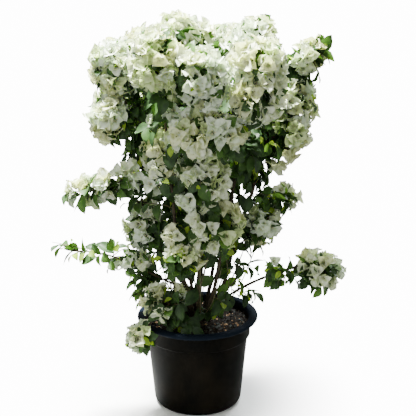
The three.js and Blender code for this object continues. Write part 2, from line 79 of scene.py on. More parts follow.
# %% Lamps
LAMPS = {
    "key": {"place": (-0.8, 0.35, 3.2), "size": 0.45, "power": 1380, "colour": (0.98, 1.0, 0.97)},
    "fill": {"place": (-1.6, -2.6, 1.6), "size": 2.0, "power": 34, "colour": (1.0, 0.99, 0.96)},
    "rim": {"place": (1.0, 1.8, 2.6), "size": 1.6, "power": 190, "colour": (0.92, 0.97, 1.0)},
}
LAMPS_AIM = (0, 0, 0.62)
ARM_LIGHT = {"place": (-0.75, -0.5, 2.4), "aim": (-0.32, -0.08, 0.6), "size": 0.08, "power": 95}
ARM_LIGHT_WIDE = 10.0
ARM_LIGHT_SOFT = 0.7


def hang(name, light, place, aim):
    """Puts a light at its place and points it at its aim."""
    lamp = bpy.data.objects.new(name, light)
    lamp.location = place
    lamp.rotation_euler = (Vector(aim) - Vector(place)).to_track_quat("-Z", "Y").to_euler()
    bpy.context.scene.collection.objects.link(lamp)


for name, lamp in LAMPS.items():
    light = bpy.data.lights.new(name, "AREA")
    light.energy, light.size, light.color = lamp["power"], lamp["size"], lamp["colour"]
    hang(name, light, lamp["place"], LAMPS_AIM)

spot = bpy.data.lights.new("arm_light", "SPOT")
spot.energy, spot.shadow_soft_size = ARM_LIGHT["power"], ARM_LIGHT["size"]
spot.spot_size, spot.spot_blend = math.radians(ARM_LIGHT_WIDE), ARM_LIGHT_SOFT
hang("arm_light", spot, ARM_LIGHT["place"], ARM_LIGHT["aim"])
print("lamps", ", ".join([*LAMPS, "arm_light"]))

# %% [markdown]
# The world adds a pale light all round, but the camera should see a bright white ground there. A Light
# Path node tells the camera's rays from all others, so each gets a background of its own. The helper
# that sets a node's inputs by their names serves every finish further on.

# %% World
SKY_COLOUR = (0.96, 1.0, 0.92)
SKY_POWER = 0.64
GROUND_POWER = 18.0


def set_inputs(node, **values):
    """Sets inputs of a node by name, with an underscore for each space in the name."""
    for name, value in values.items():
        node.inputs[name.replace("_", " ")].default_value = value


world = bpy.data.worlds.new("pale_sky")
world.use_nodes = True
nodes, links = world.node_tree.nodes, world.node_tree.links
sky = nodes["Background"]
set_inputs(sky, Color=(*SKY_COLOUR, 1), Strength=SKY_POWER)
ground = nodes.new("ShaderNodeBackground")
set_inputs(ground, Strength=GROUND_POWER)
seen = nodes.new("ShaderNodeLightPath")
either = nodes.new("ShaderNodeMixShader")
links.new(seen.outputs["Is Camera Ray"], either.inputs["Fac"])
links.new(sky.outputs["Background"], either.inputs[1])
links.new(ground.outputs["Background"], either.inputs[2])
links.new(either.outputs["Shader"], nodes["World Output"].inputs["Surface"])
bpy.context.scene.world = world
print("the world has", len(nodes), "nodes")

# %% [markdown]
# The floor is a disc just under the pot. It only has to catch the shadow, so it is not attached to the bush.

# %% Floor
FLOOR_RADIUS = 0.48
FLOOR_DROP = 0.0006


def mesh_object(name, bm, smooth=True):
    """A new object at the origin from a bmesh, which is freed."""
    mesh = bpy.data.meshes.new(name)
    bm.to_mesh(mesh)
    bm.free()
    for face in mesh.polygons:
        face.use_smooth = smooth
    piece = bpy.data.objects.new(name, mesh)
    bpy.context.scene.collection.objects.link(piece)
    return piece


bm = bmesh.new()
bmesh.ops.create_circle(bm, cap_ends=True, segments=64, radius=FLOOR_RADIUS)
bmesh.ops.translate(bm, verts=bm.verts, vec=(0, 0, -FLOOR_DROP))
floor = mesh_object("floor", bm, smooth=False)
print("the floor is", 2 * FLOOR_RADIUS, "m across")

# %% [markdown]
# A finish is a small tree of nodes. Each one here starts from the same three parts: a noise on the
# object's own coordinates that varies the colour, the same noise turned into a fine relief, and the
# Principled shader. Numbers that are the same all over are set on the shader itself.


# %% A helper for finishes
RELIEF_STRENGTH = 0.6
BLADE_SHINE = 0.25


def finish(
    name, dark, light, grain, roughness, bump=0.0, detail=6.0, contrast=(0.35, 0.65), stretch=(1, 1, 1)
):
    """A Principled finish whose colour wanders between dark and light with noise of a grain a metre."""
    made = bpy.data.materials.new(name)
    made.use_nodes = True
    nodes, links = made.node_tree.nodes, made.node_tree.links
    shader = nodes["Principled BSDF"]
    set_inputs(shader, Roughness=roughness)
    place = nodes.new("ShaderNodeTexCoord")
    scale = nodes.new("ShaderNodeMapping")
    set_inputs(scale, Scale=stretch)
    noise = nodes.new("ShaderNodeTexNoise")
    set_inputs(noise, Scale=grain, Detail=detail)
    ramp = nodes.new("ShaderNodeValToRGB")
    for stop, position, colour in zip(ramp.color_ramp.elements, contrast, (dark, light)):
        stop.position = position
        stop.color = (*colour, 1)
    links.new(place.outputs["Object"], scale.inputs["Vector"])
    links.new(scale.outputs["Vector"], noise.inputs["Vector"])
    links.new(noise.outputs["Fac"], ramp.inputs["Fac"])
    links.new(ramp.outputs["Color"], shader.inputs["Base Color"])
    if bump:
        relief = nodes.new("ShaderNodeBump")
        set_inputs(relief, Strength=RELIEF_STRENGTH, Distance=bump)
        links.new(noise.outputs["Fac"], relief.inputs["Height"])
        links.new(relief.outputs["Normal"], shader.inputs["Normal"])
    return made


def thin_finish(name, dark, light, glow_colour, through, **more):
    """A finish for thin blades: part of the light on one side comes out on the other, tinted."""
    made = finish(name, dark, light, detail=4.0, **more)
    nodes, links = made.node_tree.nodes, made.node_tree.links
    shader = nodes["Principled BSDF"]
    glow = nodes.new("ShaderNodeBsdfTranslucent")
    mixed = nodes.new("ShaderNodeMixShader")
    set_inputs(mixed, Fac=through)
    set_inputs(glow, Color=(*glow_colour, 1))
    set_inputs(shader, Specular_IOR_Level=BLADE_SHINE)
    links.new(shader.outputs["BSDF"], mixed.inputs[1])
    links.new(glow.outputs["BSDF"], mixed.inputs[2])
    links.new(mixed.outputs["Shader"], nodes["Material Output"].inputs["Surface"])
    return made


def dress(piece, made):
    """Puts one finish on a piece."""
    piece.data.materials.clear()
    piece.data.materials.append(made)


print("finishes start from noise, relief and the Principled shader")

# %% [markdown]
# The floor is nearly white, and a ramp on the distance from its middle lets it fade into the ground.

# %% Floor finish
FLOOR_COLOUR = (0.9, 0.9, 0.89)
FADE_FROM = 0.13

pale = finish("pale_floor", FLOOR_COLOUR, FLOOR_COLOUR, 2.0, 0.9)
nodes, links = pale.node_tree.nodes, pale.node_tree.links
away = nodes.new("ShaderNodeVectorMath")
away.operation = "LENGTH"
fade = nodes.new("ShaderNodeMapRange")
fade.interpolation_type = "SMOOTHSTEP"
set_inputs(fade, From_Min=FADE_FROM, From_Max=FLOOR_RADIUS, To_Min=1, To_Max=0)
links.new(nodes["Texture Coordinate"].outputs["Object"], away.inputs[0])
links.new(away.outputs["Value"], fade.inputs["Value"])
links.new(fade.outputs["Result"], nodes["Principled BSDF"].inputs["Alpha"])
dress(floor, pale)
print("the floor fades out from", FADE_FROM, "to", FLOOR_RADIUS, "m")

# %% [markdown]
# ## The growth rule
# The solids grew by a rule, and the same rule is written again here: canes spread from one root crown,
# each mass of blossom has an egg-shaped space of its own, and twigs end at places spread evenly over
# that space. The rule is then carried further, to sprays of blossom and leaf of their real size. The
# tables say where each cane and mass lies: a bearing in degrees (0 is right, 90 is back), how far out
# and how high it is, and the half sizes of its space.

# %% Sizes of the bush, in millimetres
POT_HEIGHT = 247
LIP_RADIUS = 160
COLLAR_RADIUS = 140
WALL = 3
SOIL_TOP = 224
CANE_FOOT_HEIGHT = SOIL_TOP + 8
CANE_FOOT_CIRCLE = 20
BOUGH_FOOT_CIRCLE = 31
CANE_WAVER = 7
CANE_SPREAD = 0.72
CANE_FOOT = (4.8, 1.2)
BOUGH_FOOT = (3.6, 0.6)
STEM_RADIUS = 3.2
SITE_AREA = 11600
BLOOM_INSET = 36
LEAFINESS = {"full": 1, "part": 1.4, "none": 2.3}
GOLDEN_ANGLE = math.pi * (3 - math.sqrt(5))
LOW_CROWN = 400

CANES = {
    "left_cane": {"foot": 190, "tip": 185, "out": 184, "height": 850},
    "front_left_cane": {"foot": 235, "tip": 235, "out": 150, "height": 880},
    "front_cane": {"foot": 278, "tip": 270, "out": 116, "height": 838},
    "front_right_cane": {"foot": 318, "tip": 320, "out": 152, "height": 862},
    "right_cane": {"foot": 358, "tip": 360, "out": 212, "height": 885},
    "back_right_cane": {"foot": 40, "tip": 23, "out": 131, "height": 905},
    "back_cane": {"foot": 85, "tip": 66, "out": 153, "height": 858},
    "back_left_cane": {"foot": 135, "tip": 131, "out": 172, "height": 850},
    "centre_cane": {"foot": 160, "tip": 151, "out": 63, "height": 905},
}
BOUGHS = {
    "right_low_bough": {"foot": 18, "tip": 3, "out": 262, "height": 370, "rise": 0.65, "arch": 0},
    "front_low_bough": {"foot": 257, "tip": 233, "out": 78, "height": 268, "rise": 1, "arch": 4},
    "hanging_bough": {"foot": 212, "tip": 222, "out": 186, "height": 238, "rise": 1, "arch": 46},
}
# name: limb, height where the stem leaves it, bearing, out, height, long, wide, lie, flowers from and to
MASSES = {
    "top_left": ("left_cane", "tip", 183, 194, 893, 76, 70, None, None),
    "top_mid_left": ("centre_cane", "tip", 143, 60, 954, 104, 70, (180, 0), None),
    "top_mid_right": ("back_right_cane", "tip", 17, 148, 945, 74, 70, None, None),
    "front_top_left": ("front_left_cane", "tip", 238, 172, 925, 74, 72, None, None),
    "front_top": ("front_cane", "tip", 270, 158, 890, 82, 78, None, None),
    "front_top_right": ("front_right_cane", "tip", 320, 180, 905, 76, 74, None, None),
    "right_sprig": ("right_cane", "tip", 0, 252, 911, 90, 43, (0, 32), None),
    "far_right": ("right_cane", 700, 358, 230, 770, 108, 68, (0, 80), None),
    "front_right": ("front_right_cane", 740, 313, 202, 842, 68, 64, None, None),
    "front_mid": ("front_cane", 680, 278, 167, 758, 112, 70, (0, 0), None),
    "upper_left": ("left_cane", 680, 187, 208, 775, 66, 60, None, None),
    "left_leaves": ("left_cane", 620, 187, 142, 735, 118, 50, (0, 90), (2, 2)),
    "left_centre": ("front_left_cane", 600, 222, 104, 690, 72, 58, None, None),
    "right_centre": ("front_right_cane", 590, 330, 130, 700, 76, 64, None, (2, 2)),
    "right_leaves": ("right_cane", 540, 4, 163, 682, 100, 52, (0, 90), (2, 2)),
    "centre_mid": ("front_cane", 540, 275, 136, 640, 80, 76, None, None),
    "left_arm": ("left_cane", 530, 198, 230, 611, 132, 48, (184, -15), (-1, 1)),
    "right_mid_sprig": ("right_cane", 470, 0, 200, 555, 70, 50, (0, 8), (0.3, 1)),
    "right_bloom": ("front_right_cane", 400, 346, 166, 501, 54, 47, None, None),
    "centre_low": ("front_cane", 430, 288, 126, 522, 78, 76, None, None),
    "left_low": ("left_cane", 400, 185, 131, 492, 72, 60, None, None),
    "low_left_sprig": ("left_cane", 330, 189, 240, 425, 160, 44, (184, 8), (-1, -0.25)),
    "low_bloom": ("front_left_cane", 385, 254, 156, 440, 50, 46, None, None),
    "right_low": ("right_low_bough", "tip", 3, 320, 359, 66, 62, None, None),
    "front_low": ("front_low_bough", "tip", 228, 116, 310, 74, 56, (160, 0), (-0.45, 1)),
    "hanging_bloom": ("hanging_bough", "tip", 224, 198, 236, 44, 38, (223, -70), None),
    "low_left_leaves": ("left_cane", 285, 184, 138, 335, 76, 52, (0, 90), (2, 2)),
    "low_centre_leaves": ("right_cane", 290, 342, 104, 352, 76, 58, (0, 90), (2, 2)),
    "back_top_left": ("back_left_cane", "tip", 130, 190, 900, 86, 84, None, None),
    "back_top_right": ("back_cane", "tip", 66, 182, 904, 86, 84, None, None),
    "back_right": ("back_right_cane", 730, 32, 218, 825, 80, 76, None, None),
    "back_left": ("back_left_cane", 670, 150, 214, 778, 80, 76, None, None),
    "back_mid": ("back_cane", 670, 78, 168, 755, 136, 76, (0, 0), None),
    "back_low": ("back_cane", 520, 99, 132, 605, 130, 74, (0, 0), None),
    "back_base": ("back_cane", 390, 82, 106, 475, 113, 64, (0, 0), None),
    "inner_leaves": ("centre_cane", 690, 90, 12, 815, 119, 90, (0, 90), (2, 2)),
    "right_low_leaves": ("right_low_bough", 350, 3, 214, 352, 50, 46, None, (2, 2)),
}
print(len(CANES), "canes,", len(BOUGHS), "low boughs and", len(MASSES), "masses")

# %% [markdown]
# A cane is a smooth line through a few points, so the first tool is such a line: a Catmull-Rom curve,
# which passes through every point it is given, measured out in even steps along its length.


# %% Lines through points
class Line:
    """A smooth line through points, kept as even steps along its length."""

    def __init__(self, points, steps=60):
        points = np.array(points, float)
        before = 2 * points[0] - points[1]
        after = 2 * points[-1] - points[-2]
        knots = np.vstack([before, points, after])
        dense = []
        for k in range(len(points) - 1):
            p0, p1, p2, p3 = knots[k : k + 4]
            d0, d1, d2 = (max(np.linalg.norm(b - a), 1e-4) ** 0.5 for a, b in ((p0, p1), (p1, p2), (p2, p3)))
            m1 = ((p1 - p0) / d0 - (p2 - p0) / (d0 + d1) + (p2 - p1) / d1) * d1
            m2 = ((p2 - p1) / d1 - (p3 - p1) / (d1 + d2) + (p3 - p2) / d2) * d1
            t = np.linspace(0, 1, 24, endpoint=k == len(points) - 2)[:, None]
            c2 = -3 * p1 + 3 * p2 - 2 * m1 - m2
            c3 = 2 * p1 - 2 * p2 + m1 + m2
            dense.append(p1 + m1 * t + c2 * t**2 + c3 * t**3)
        dense = np.vstack(dense)
        run = np.concatenate([[0], np.cumsum(np.linalg.norm(np.diff(dense, axis=0), axis=1))])
        even = np.linspace(0, run[-1], steps + 1)
        self.spots = np.column_stack([np.interp(even, run, dense[:, k]) for k in range(3)])
        self.length = run[-1]

    def at(self, share):
        """The point at a share of the length."""
        step = np.clip(share, 0, 1) * (len(self.spots) - 1)
        k = min(int(step), len(self.spots) - 2)
        return self.spots[k] + (step - k) * (self.spots[k + 1] - self.spots[k])

    def way(self, share):
        """The way that the line runs there, one long."""
        return unit(self.at(min(share + 0.02, 1)) - self.at(max(share - 0.02, 0)))


def unit(vector):
    """The same way with a length of one."""
    return vector / max(np.linalg.norm(vector), 1e-9)


def place(out, bearing, height):
    """A point so far out from the bush's upright axis, at a bearing in degrees and a height."""
    angle = math.radians(bearing)
    return np.array([out * math.cos(angle), out * math.sin(angle), height])


def heading(bearing, pitch):
    """A step of length one towards a bearing, raised by a pitch."""
    pitch = math.radians(pitch)
    return place(math.cos(pitch), bearing, math.sin(pitch))


def up(amount):
    """A step straight up."""
    return np.array([0, 0, amount])


def outwards(point):
    """The level way from the bush's upright axis to a point."""
    return unit(point * np.array([1, 1, 0]))


def seeded(seed):
    """The same numbers from 0 to 1 each time, as in the solids."""
    state = seed & 0xFFFFFFFF
    while True:
        state = (state * 1664525 + 1013904223) & 0xFFFFFFFF
        yield state / 4294967296


def any_turn(rough):
    """A turn drawn from the whole circle, in radians."""
    return 6.28 * next(rough)


print("a line through three points is", round(Line([(0, 0, 0), (10, 5, 0), (20, 0, 0)]).length, 2), "mm long")

# %% [markdown]
# Each cane leaves the root crown at its own bearing, spreads fast at first and then climbs, which gives
# the bush its vase shape. It wavers a little on the way, as grown wood does.

# %% Canes and low boughs
def taper(foot, flare):
    """The radius along a limb, which thins towards its tip and flares at its foot."""
    return lambda t: STEM_RADIUS + (foot - STEM_RADIUS) * (1 - t) + flare * math.exp(-16 * t)


limb_lines = {}
limb_radius = {}
for index, (name, limb) in enumerate([*CANES.items(), *BOUGHS.items()]):
    is_cane = name in CANES
    rough = seeded(101 + 17 * index)
    circle = 0 if name == "centre_cane" else CANE_FOOT_CIRCLE if is_cane else BOUGH_FOOT_CIRCLE
    points = []
    for k in range(8):
        t = k / 7
        out = circle + (limb["out"] - circle) * t ** (CANE_SPREAD if is_cane else 1)
        bearing = limb["foot"] + (limb["tip"] - limb["foot"]) * t
        climb = (limb["height"] - CANE_FOOT_HEIGHT) * t ** limb.get("rise", 1)
        height = CANE_FOOT_HEIGHT + climb + limb.get("arch", 0) * math.sin(math.pi * t)
        waver = CANE_WAVER * math.sin(math.pi * t) if is_cane else 0
        aside = [waver * (2 * next(rough) - 1), waver * (2 * next(rough) - 1), 0]
        points.append(place(out, bearing, height) + aside)
    limb_lines[name] = Line(points, 90)
    limb_radius[name] = taper(*(CANE_FOOT if is_cane else BOUGH_FOOT))
print("longest cane", round(max(line.length for line in limb_lines.values())), "mm")

# %% [markdown]
# A mass has a middle, a long axis and a stem that comes from its cane. Depth says how deep a point is
# in a space: 0 in the middle and 1 at its skin. Twigs end at sites spread by the golden angle, the
# same spiral that sets the seeds of a sunflower, because it never bunches.


# %% Spaces, stems and sites
def lay_out(name, index):
    """The space of one mass: its middle, axes, half sizes and stem, and how many blooms and leaves it has."""
    on, at, bearing, out, height, long, wide, lie, flowers = MASSES[name]
    line = limb_lines[on]
    centre = place(out, bearing, height)
    tip_way = line.way(1)
    if at == "tip":
        root = line.at(1)
    else:
        root = line.spots[np.argmin(np.abs(line.spots[:, 2] - at))]
    inward = centre - root
    axis = unit(inward) if lie is None else heading(*lie)
    axis = -axis if axis @ inward < 0 else axis
    through = axis @ inward > 0.6 * np.linalg.norm(inward)
    end = centre + axis * 0.55 * long if through else centre + unit(inward) * 0.25 * wide
    stem = [root, root + 14 * tip_way, centre, end] if at == "tip" else [root, centre, end]
    side = np.cross((0, 0, 1), axis)
    side = np.array([1.0, 0, 0]) if np.linalg.norm(side) < 0.1 else unit(side)
    ways = (axis, side, np.cross(axis, side))
    skin = 4 * math.pi * wide * (0.35 * wide + 0.65 * long)
    count = max(4, round(skin / SITE_AREA))
    share = "full" if flowers is None else "none" if flowers[0] > 1 else "part"
    return {
        "name": name,
        "centre": centre,
        "ways": ways,
        "halves": (long, wide, wide),
        "stem": Line(stem, 30),
        "flowers": flowers or (-1, 1),
        "blooms": count,
        "leaves": round(count * LEAFINESS[share]),
        "seed": 7 + 31 * index,
    }


def depth_in(space, point):
    """How deep a point is in a space: 0 in the middle, 1 at its skin and more outside."""
    away = point - space["centre"]
    return math.sqrt(sum((away @ way / half) ** 2 for way, half in zip(space["ways"], space["halves"])))


def sites_of(space, count, turned, inset, rough):
    """Places for twigs to end, spread evenly a little inside the skin of a space."""
    sites = []
    for i in range(count):
        along = 1 - (2 * i + 1) / count
        turn = turned + i * GOLDEN_ANGLE + 0.6 * next(rough)
        across = math.sqrt(1 - along * along)
        shrink = 0.9 + 0.16 * next(rough)
        shares = (along, across * math.cos(turn), across * math.sin(turn))
        end = space["centre"].copy()
        outward = np.zeros(3)
        for share, way, half in zip(shares, space["ways"], space["halves"]):
            end = end + way * share * (half - inset) * shrink
            outward = outward + way * share / half
        start = 0.94 - 0.5 * i / count
        sites.append({"end": end, "outward": unit(outward), "along": along, "start": start, "index": i})
    return sites


def is_sunny(site, centre):
    """Whether a site looks up or out of the crown, where blossom opens; the shady inside has leaves."""
    lowest = -0.45 if centre[2] < LOW_CROWN else -0.82
    return site["outward"] @ outwards(site["end"]) > -0.6 and site["outward"][2] > lowest


def clear_of_pot(point, margin):
    """Whether a point is above the lip, above the soil or outside the pot."""
    out = math.hypot(point[0], point[1])
    over_lip = point[2] > POT_HEIGHT + margin
    over_soil = out < COLLAR_RADIUS - WALL - margin and point[2] > SOIL_TOP + margin
    return over_lip or over_soil or out > LIP_RADIUS + margin


spaces = [lay_out(name, index) for index, name in enumerate(MASSES)]
print(sum(space["blooms"] for space in spaces), "flowering sites at most")

# %% [markdown]
# ## Wood
# A stem is a tube that follows a line. The plain tube is made once, as a cone with straight sides cut
# into rings, and then each of its points is moved to the same place along and around the line. The
# side and the other side of each ring are carried along from ring to ring, so that the tube never
# twists.


# %% Tubes along lines
def ringed_cone(sides, top_radius, cuts):
    """A bmesh of a cone one high and one in radius at its foot, its sides cut into rings."""
    bm = bmesh.new()
    bmesh.ops.create_cone(bm, cap_ends=True, segments=sides, radius1=1, radius2=top_radius, depth=1)
    upright = [e for e in bm.edges if abs(e.verts[0].co.z - e.verts[1].co.z) > 0.5]
    bmesh.ops.subdivide_edges(bm, edges=upright, cuts=cuts)
    return bm


def taken(bm):
    """The points and triangles of a bmesh, which is freed."""
    bmesh.ops.triangulate(bm, faces=bm.faces)
    points = np.array([v.co[:] for v in bm.verts])
    faces = np.array([[v.index for v in face.verts] for face in bm.faces])
    bm.free()
    return points, faces


def plain_tube(sides, rings):
    """Points (around x, around y, share along) and triangles of a closed tube."""
    points, faces = taken(ringed_cone(sides, 1, rings - 1))
    return points + up(0.5), faces


def tube_on(line, radius_at, tube, rings):
    """The plain tube laid along a line, in millimetres."""
    points, faces = tube
    shares = np.linspace(0, 1, rings + 1)
    centres = np.array([line.at(t) for t in shares])
    ways = np.array([line.way(t) for t in shares])
    side = np.cross(ways[0], (0, 0, 1) if abs(ways[0][2]) < 0.9 else (0, 1, 0))
    sides = []
    for way in ways:
        side = unit(side - (side @ way) * way)
        sides.append(side)
    sides = np.array(sides)
    others = np.cross(ways, sides)
    ring = np.rint(points[:, 2] * rings).astype(int)
    radius = np.array([radius_at(t) for t in shares])[ring, None]
    round_about = sides[ring] * points[:, :1] + others[ring] * points[:, 1:2]
    return centres[ring] + radius * round_about, faces


def together(batches):
    """Several shapes as one set of points and triangles."""
    starts = np.cumsum([0] + [len(points) for points, _ in batches[:-1]])
    faces = np.vstack([faces + start for (_, faces), start in zip(batches, starts)])
    return np.vstack([points for points, _ in batches]), faces


def joined(name, batches, made, smooth=True):
    """One object from many small shapes, each its points in millimetres and its triangles."""
    points, faces = together(batches)
    mesh = bpy.data.meshes.new(name)
    mesh.vertices.add(len(points))
    mesh.vertices.foreach_set("co", (points * MM).astype(np.float32).ravel())
    mesh.loops.add(faces.size)
    mesh.loops.foreach_set("vertex_index", faces.astype(np.int32).ravel())
    mesh.polygons.add(len(faces))
    mesh.polygons.foreach_set("loop_start", np.arange(0, faces.size, 3, dtype=np.int32))
    mesh.polygons.foreach_set("use_smooth", np.full(len(faces), smooth))
    mesh.update(calc_edges=True)
    mesh.validate()
    piece = bpy.data.objects.new(name, mesh)
    bpy.context.scene.collection.objects.link(piece)
    dress(piece, made)
    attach(piece, "root")
    return piece


print("a plain tube of 6 sides and 2 rings has", len(plain_tube(6, 2)[1]), "triangles")

# %% [markdown]
# Old bougainvillea wood is grey-brown and ridged lengthwise, with a slight swelling where each leaf
# once sat. The ridges and swellings are real relief here: they are worked into the radius of each
# ring. A noise stretched along the cane adds the fine grain.

# %% Canes with bark
bark_old = finish(
    "bark_old", (0.026, 0.019, 0.011), (0.1, 0.072, 0.042), 160, 0.85, bump=0.0012, stretch=(1, 1, 0.25)
)
bark_young = finish("bark_young", (0.04, 0.045, 0.018), (0.12, 0.1, 0.045), 220, 0.7, bump=0.0006)
CANE_SIDES = 10
CANE_RINGS = 96
NODE_SPACING = 42


def bark_relief(points, faces, line, phase):
    """Moves a cane's skin in and out for its ridges, wrinkles and the swellings of its old leaf nodes."""
    middles = np.array([line.at(t) for t in np.linspace(0, 1, CANE_RINGS + 1)])
    nearest = np.argmin(((points[:, None] - middles[None]) ** 2).sum(axis=2), axis=1)
    away = points - middles[nearest]
    run = nearest / CANE_RINGS * line.length
    turn = np.arctan2(away[:, 1], away[:, 0])
    swelling = 0.14 * np.exp(-(((run + phase) % NODE_SPACING) / 5.0 - 1) ** 2)
    ridges = 0.07 * np.sin(4 * turn + run / 19 + phase) + 0.05 * np.sin(run / 3.7 + 2 * turn)
    return middles[nearest] + away * (1 + swelling + ridges)[:, None], faces


cane_tube = plain_tube(CANE_SIDES, CANE_RINGS)
limb_batches = []
for index, (name, line) in enumerate(limb_lines.items()):
    shape = tube_on(line, limb_radius[name], cane_tube, CANE_RINGS)
    limb_batches.append(bark_relief(*shape, line, 13 * index))
canes = joined("canes", limb_batches, bark_old)
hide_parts(*limb_lines)
print("canes", len(canes.data.polygons), "triangles")

# %% [markdown]
# All the canes rise from one woody stump, the root crown, which is knotted and uneven. A round cake of
# wood is cut into finer faces and then pushed out and in by a few waves of different lengths.

# %% Root crown
ROOT_CROWN_RADIUS = 42
ROOT_CROWN_HEIGHT = 21
crown_low, crown_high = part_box("root_crown")
bm = ringed_cone(40, 0.6, 6)
top = [f for f in bm.faces if f.normal.z > 0.9]
for ring in range(5):
    bmesh.ops.inset_region(bm, faces=top, thickness=0.1, use_even_offset=False)
for vert in bm.verts:
    turn = math.atan2(vert.co.y, vert.co.x)
    height = vert.co.z + 0.5
    hollow = 1 - 0.22 * math.sin(math.pi * min(height, 1))
    knots = 1 + 0.1 * math.sin(5 * turn + 4 * height) + 0.05 * math.sin(13 * turn - 7 * height)
    vert.co.x *= ROOT_CROWN_RADIUS * 0.95 * hollow * knots * MM
    vert.co.y *= ROOT_CROWN_RADIUS * 0.95 * hollow * knots * MM
    slant = 2.0 * math.sin(3 * turn) * math.hypot(vert.co.x, vert.co.y) / (ROOT_CROWN_RADIUS * MM)
    vert.co.z = (SOIL_TOP - 2 + height * (ROOT_CROWN_HEIGHT + slant)) * MM
root_crown = mesh_object("root_stump", bm)
dress(root_crown, bark_old)
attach(root_crown, "root")
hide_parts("root_crown")
crown_across = round((crown_high[0] - crown_low[0]) / MM)
print("root crown", len(root_crown.data.polygons), "faces, in place of a solid", crown_across, "mm across")

# %% [markdown]
# ## The pot
# A nursery pot is blown from black plastic: a thin tapering wall, a straight collar near the top and a
# wide rolled lip to lift it by. It is a turned shape, so its outline is drawn once, from the middle of
# the floor up the outside, over the lip and down the inside, and spun about the upright axis.

# %% Pot
LIP_DEPTH = 12
COLLAR_FOOT = 190
WALL_TOP_RADIUS = 133.5
WALL_FOOT_RADIUS = 117.5
UNDERSIDE_RADIUS = 105.5
FOOT_ROUNDING = 18
FLOOR = 4
SPIN_STEPS = 96


def arc(middle, radius, start, stop, steps):
    """Points of radius and height round a middle, angles in degrees."""
    angles = [math.radians(start + (stop - start) * k / steps) for k in range(steps + 1)]
    return [(middle[0] + radius * math.cos(a), middle[1] + radius * math.sin(a)) for a in angles]


def turned(name, outline):
    """An outline of radius and height in millimetres, spun about the upright axis to a closed shape."""
    bm = bmesh.new()
    verts = [bm.verts.new((radius * MM, 0, height * MM)) for radius, height in outline]
    edges = [bm.edges.new(pair) for pair in zip(verts, verts[1:])]
    upright = {"cent": (0, 0, 0), "axis": (0, 0, 1), "angle": math.tau}
    bmesh.ops.spin(bm, geom=verts + edges, steps=SPIN_STEPS, use_merge=True, **upright)
    bmesh.ops.remove_doubles(bm, verts=bm.verts, dist=1e-6)
    bmesh.ops.recalc_face_normals(bm, faces=bm.faces)
    return mesh_object(name, bm)


lip_middle = (LIP_RADIUS - LIP_DEPTH / 2, POT_HEIGHT - LIP_DEPTH / 2)
pot_outline = [(0, 0.6), (UNDERSIDE_RADIUS - 14, 0.6), (UNDERSIDE_RADIUS - 8, 0)]
pot_outline += arc((WALL_FOOT_RADIUS - 16, FOOT_ROUNDING - 2), 16, -90, -4, 8)
pot_outline += [(WALL_TOP_RADIUS, COLLAR_FOOT - 3), (WALL_TOP_RADIUS + 1, COLLAR_FOOT - 1)]
pot_outline += [(COLLAR_RADIUS - 1.5, COLLAR_FOOT + 2), (COLLAR_RADIUS, COLLAR_FOOT + 4)]
pot_outline += [(COLLAR_RADIUS, POT_HEIGHT - LIP_DEPTH - 2), (COLLAR_RADIUS + 2, POT_HEIGHT - LIP_DEPTH)]
pot_outline += arc(lip_middle, LIP_DEPTH / 2, -90, 90, 10)
pot_outline += [(COLLAR_RADIUS + 7, POT_HEIGHT)]
pot_outline += arc((COLLAR_RADIUS + 5, POT_HEIGHT - 8), 8, 90, 180, 6)
pot_outline += [(COLLAR_RADIUS - WALL, COLLAR_FOOT + 2), (WALL_TOP_RADIUS - WALL, COLLAR_FOOT - 3)]
pot_outline += [(WALL_FOOT_RADIUS - WALL, FOOT_ROUNDING), (UNDERSIDE_RADIUS, FLOOR), (0, FLOOR)]
pot = turned("nursery_pot", pot_outline)
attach(pot, "root")
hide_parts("pot")
print("pot", len(pot.data.polygons), "faces")

# %% [markdown]
# The plastic is not one black. Its wall has a film of brown dust that watering left, in patches, while the
# lip has its blue sheen painted into its colour as a plain blue-black, a painted sheen. A ramp on the height
# splits the two, a noise breaks the dust up, and a very fine relief dulls the shine.

# %% Pot finish
plastic = finish(
    "black_plastic", (0.0012, 0.0014, 0.0012), (0.0062, 0.0048, 0.003), 12, 0.6, bump=0.0004, detail=9
)
# The lip colour is a painted sheen, a plain blue-black.
LIP_SHEEN_COLOUR = (0.006, 0.0095, 0.016, 1)
FIRST_COLOUR = 6
SECOND_COLOUR = 7
MIXED_COLOUR = 2
nodes, links = plastic.node_tree.nodes, plastic.node_tree.links
shader = nodes["Principled BSDF"]
where = nodes.new("ShaderNodeSeparateXYZ")
to_lip = nodes.new("ShaderNodeMapRange")
lip_foot = POT_HEIGHT - LIP_DEPTH
set_inputs(to_lip, From_Min=(lip_foot - 6) * MM, From_Max=(lip_foot + 2) * MM)
# Above the lip's foot, the lip's painted sheen takes the place of the dusty wall colour.
painted_sheen = nodes.new("ShaderNodeMix")
painted_sheen.data_type = "RGBA"
painted_sheen.inputs[SECOND_COLOUR].default_value = LIP_SHEEN_COLOUR
links.new(nodes["Texture Coordinate"].outputs["Object"], where.inputs["Vector"])
links.new(where.outputs["Z"], to_lip.inputs["Value"])
links.new(to_lip.outputs["Result"], painted_sheen.inputs["Factor"])
links.new(nodes["Color Ramp"].outputs["Color"], painted_sheen.inputs[FIRST_COLOUR])
links.new(painted_sheen.outputs[MIXED_COLOUR], shader.inputs["Base Color"])
set_inputs(shader, Specular_IOR_Level=0.02)
dress(pot, plastic)
print("pot finish has", len(nodes), "nodes")

# %% [markdown]
# The soil is coarse and dark. Its top is a disc cut into rings, roughened by waves and a little lower
# at its rim. Small stones and bits of bark lie in it, each a rough lump.

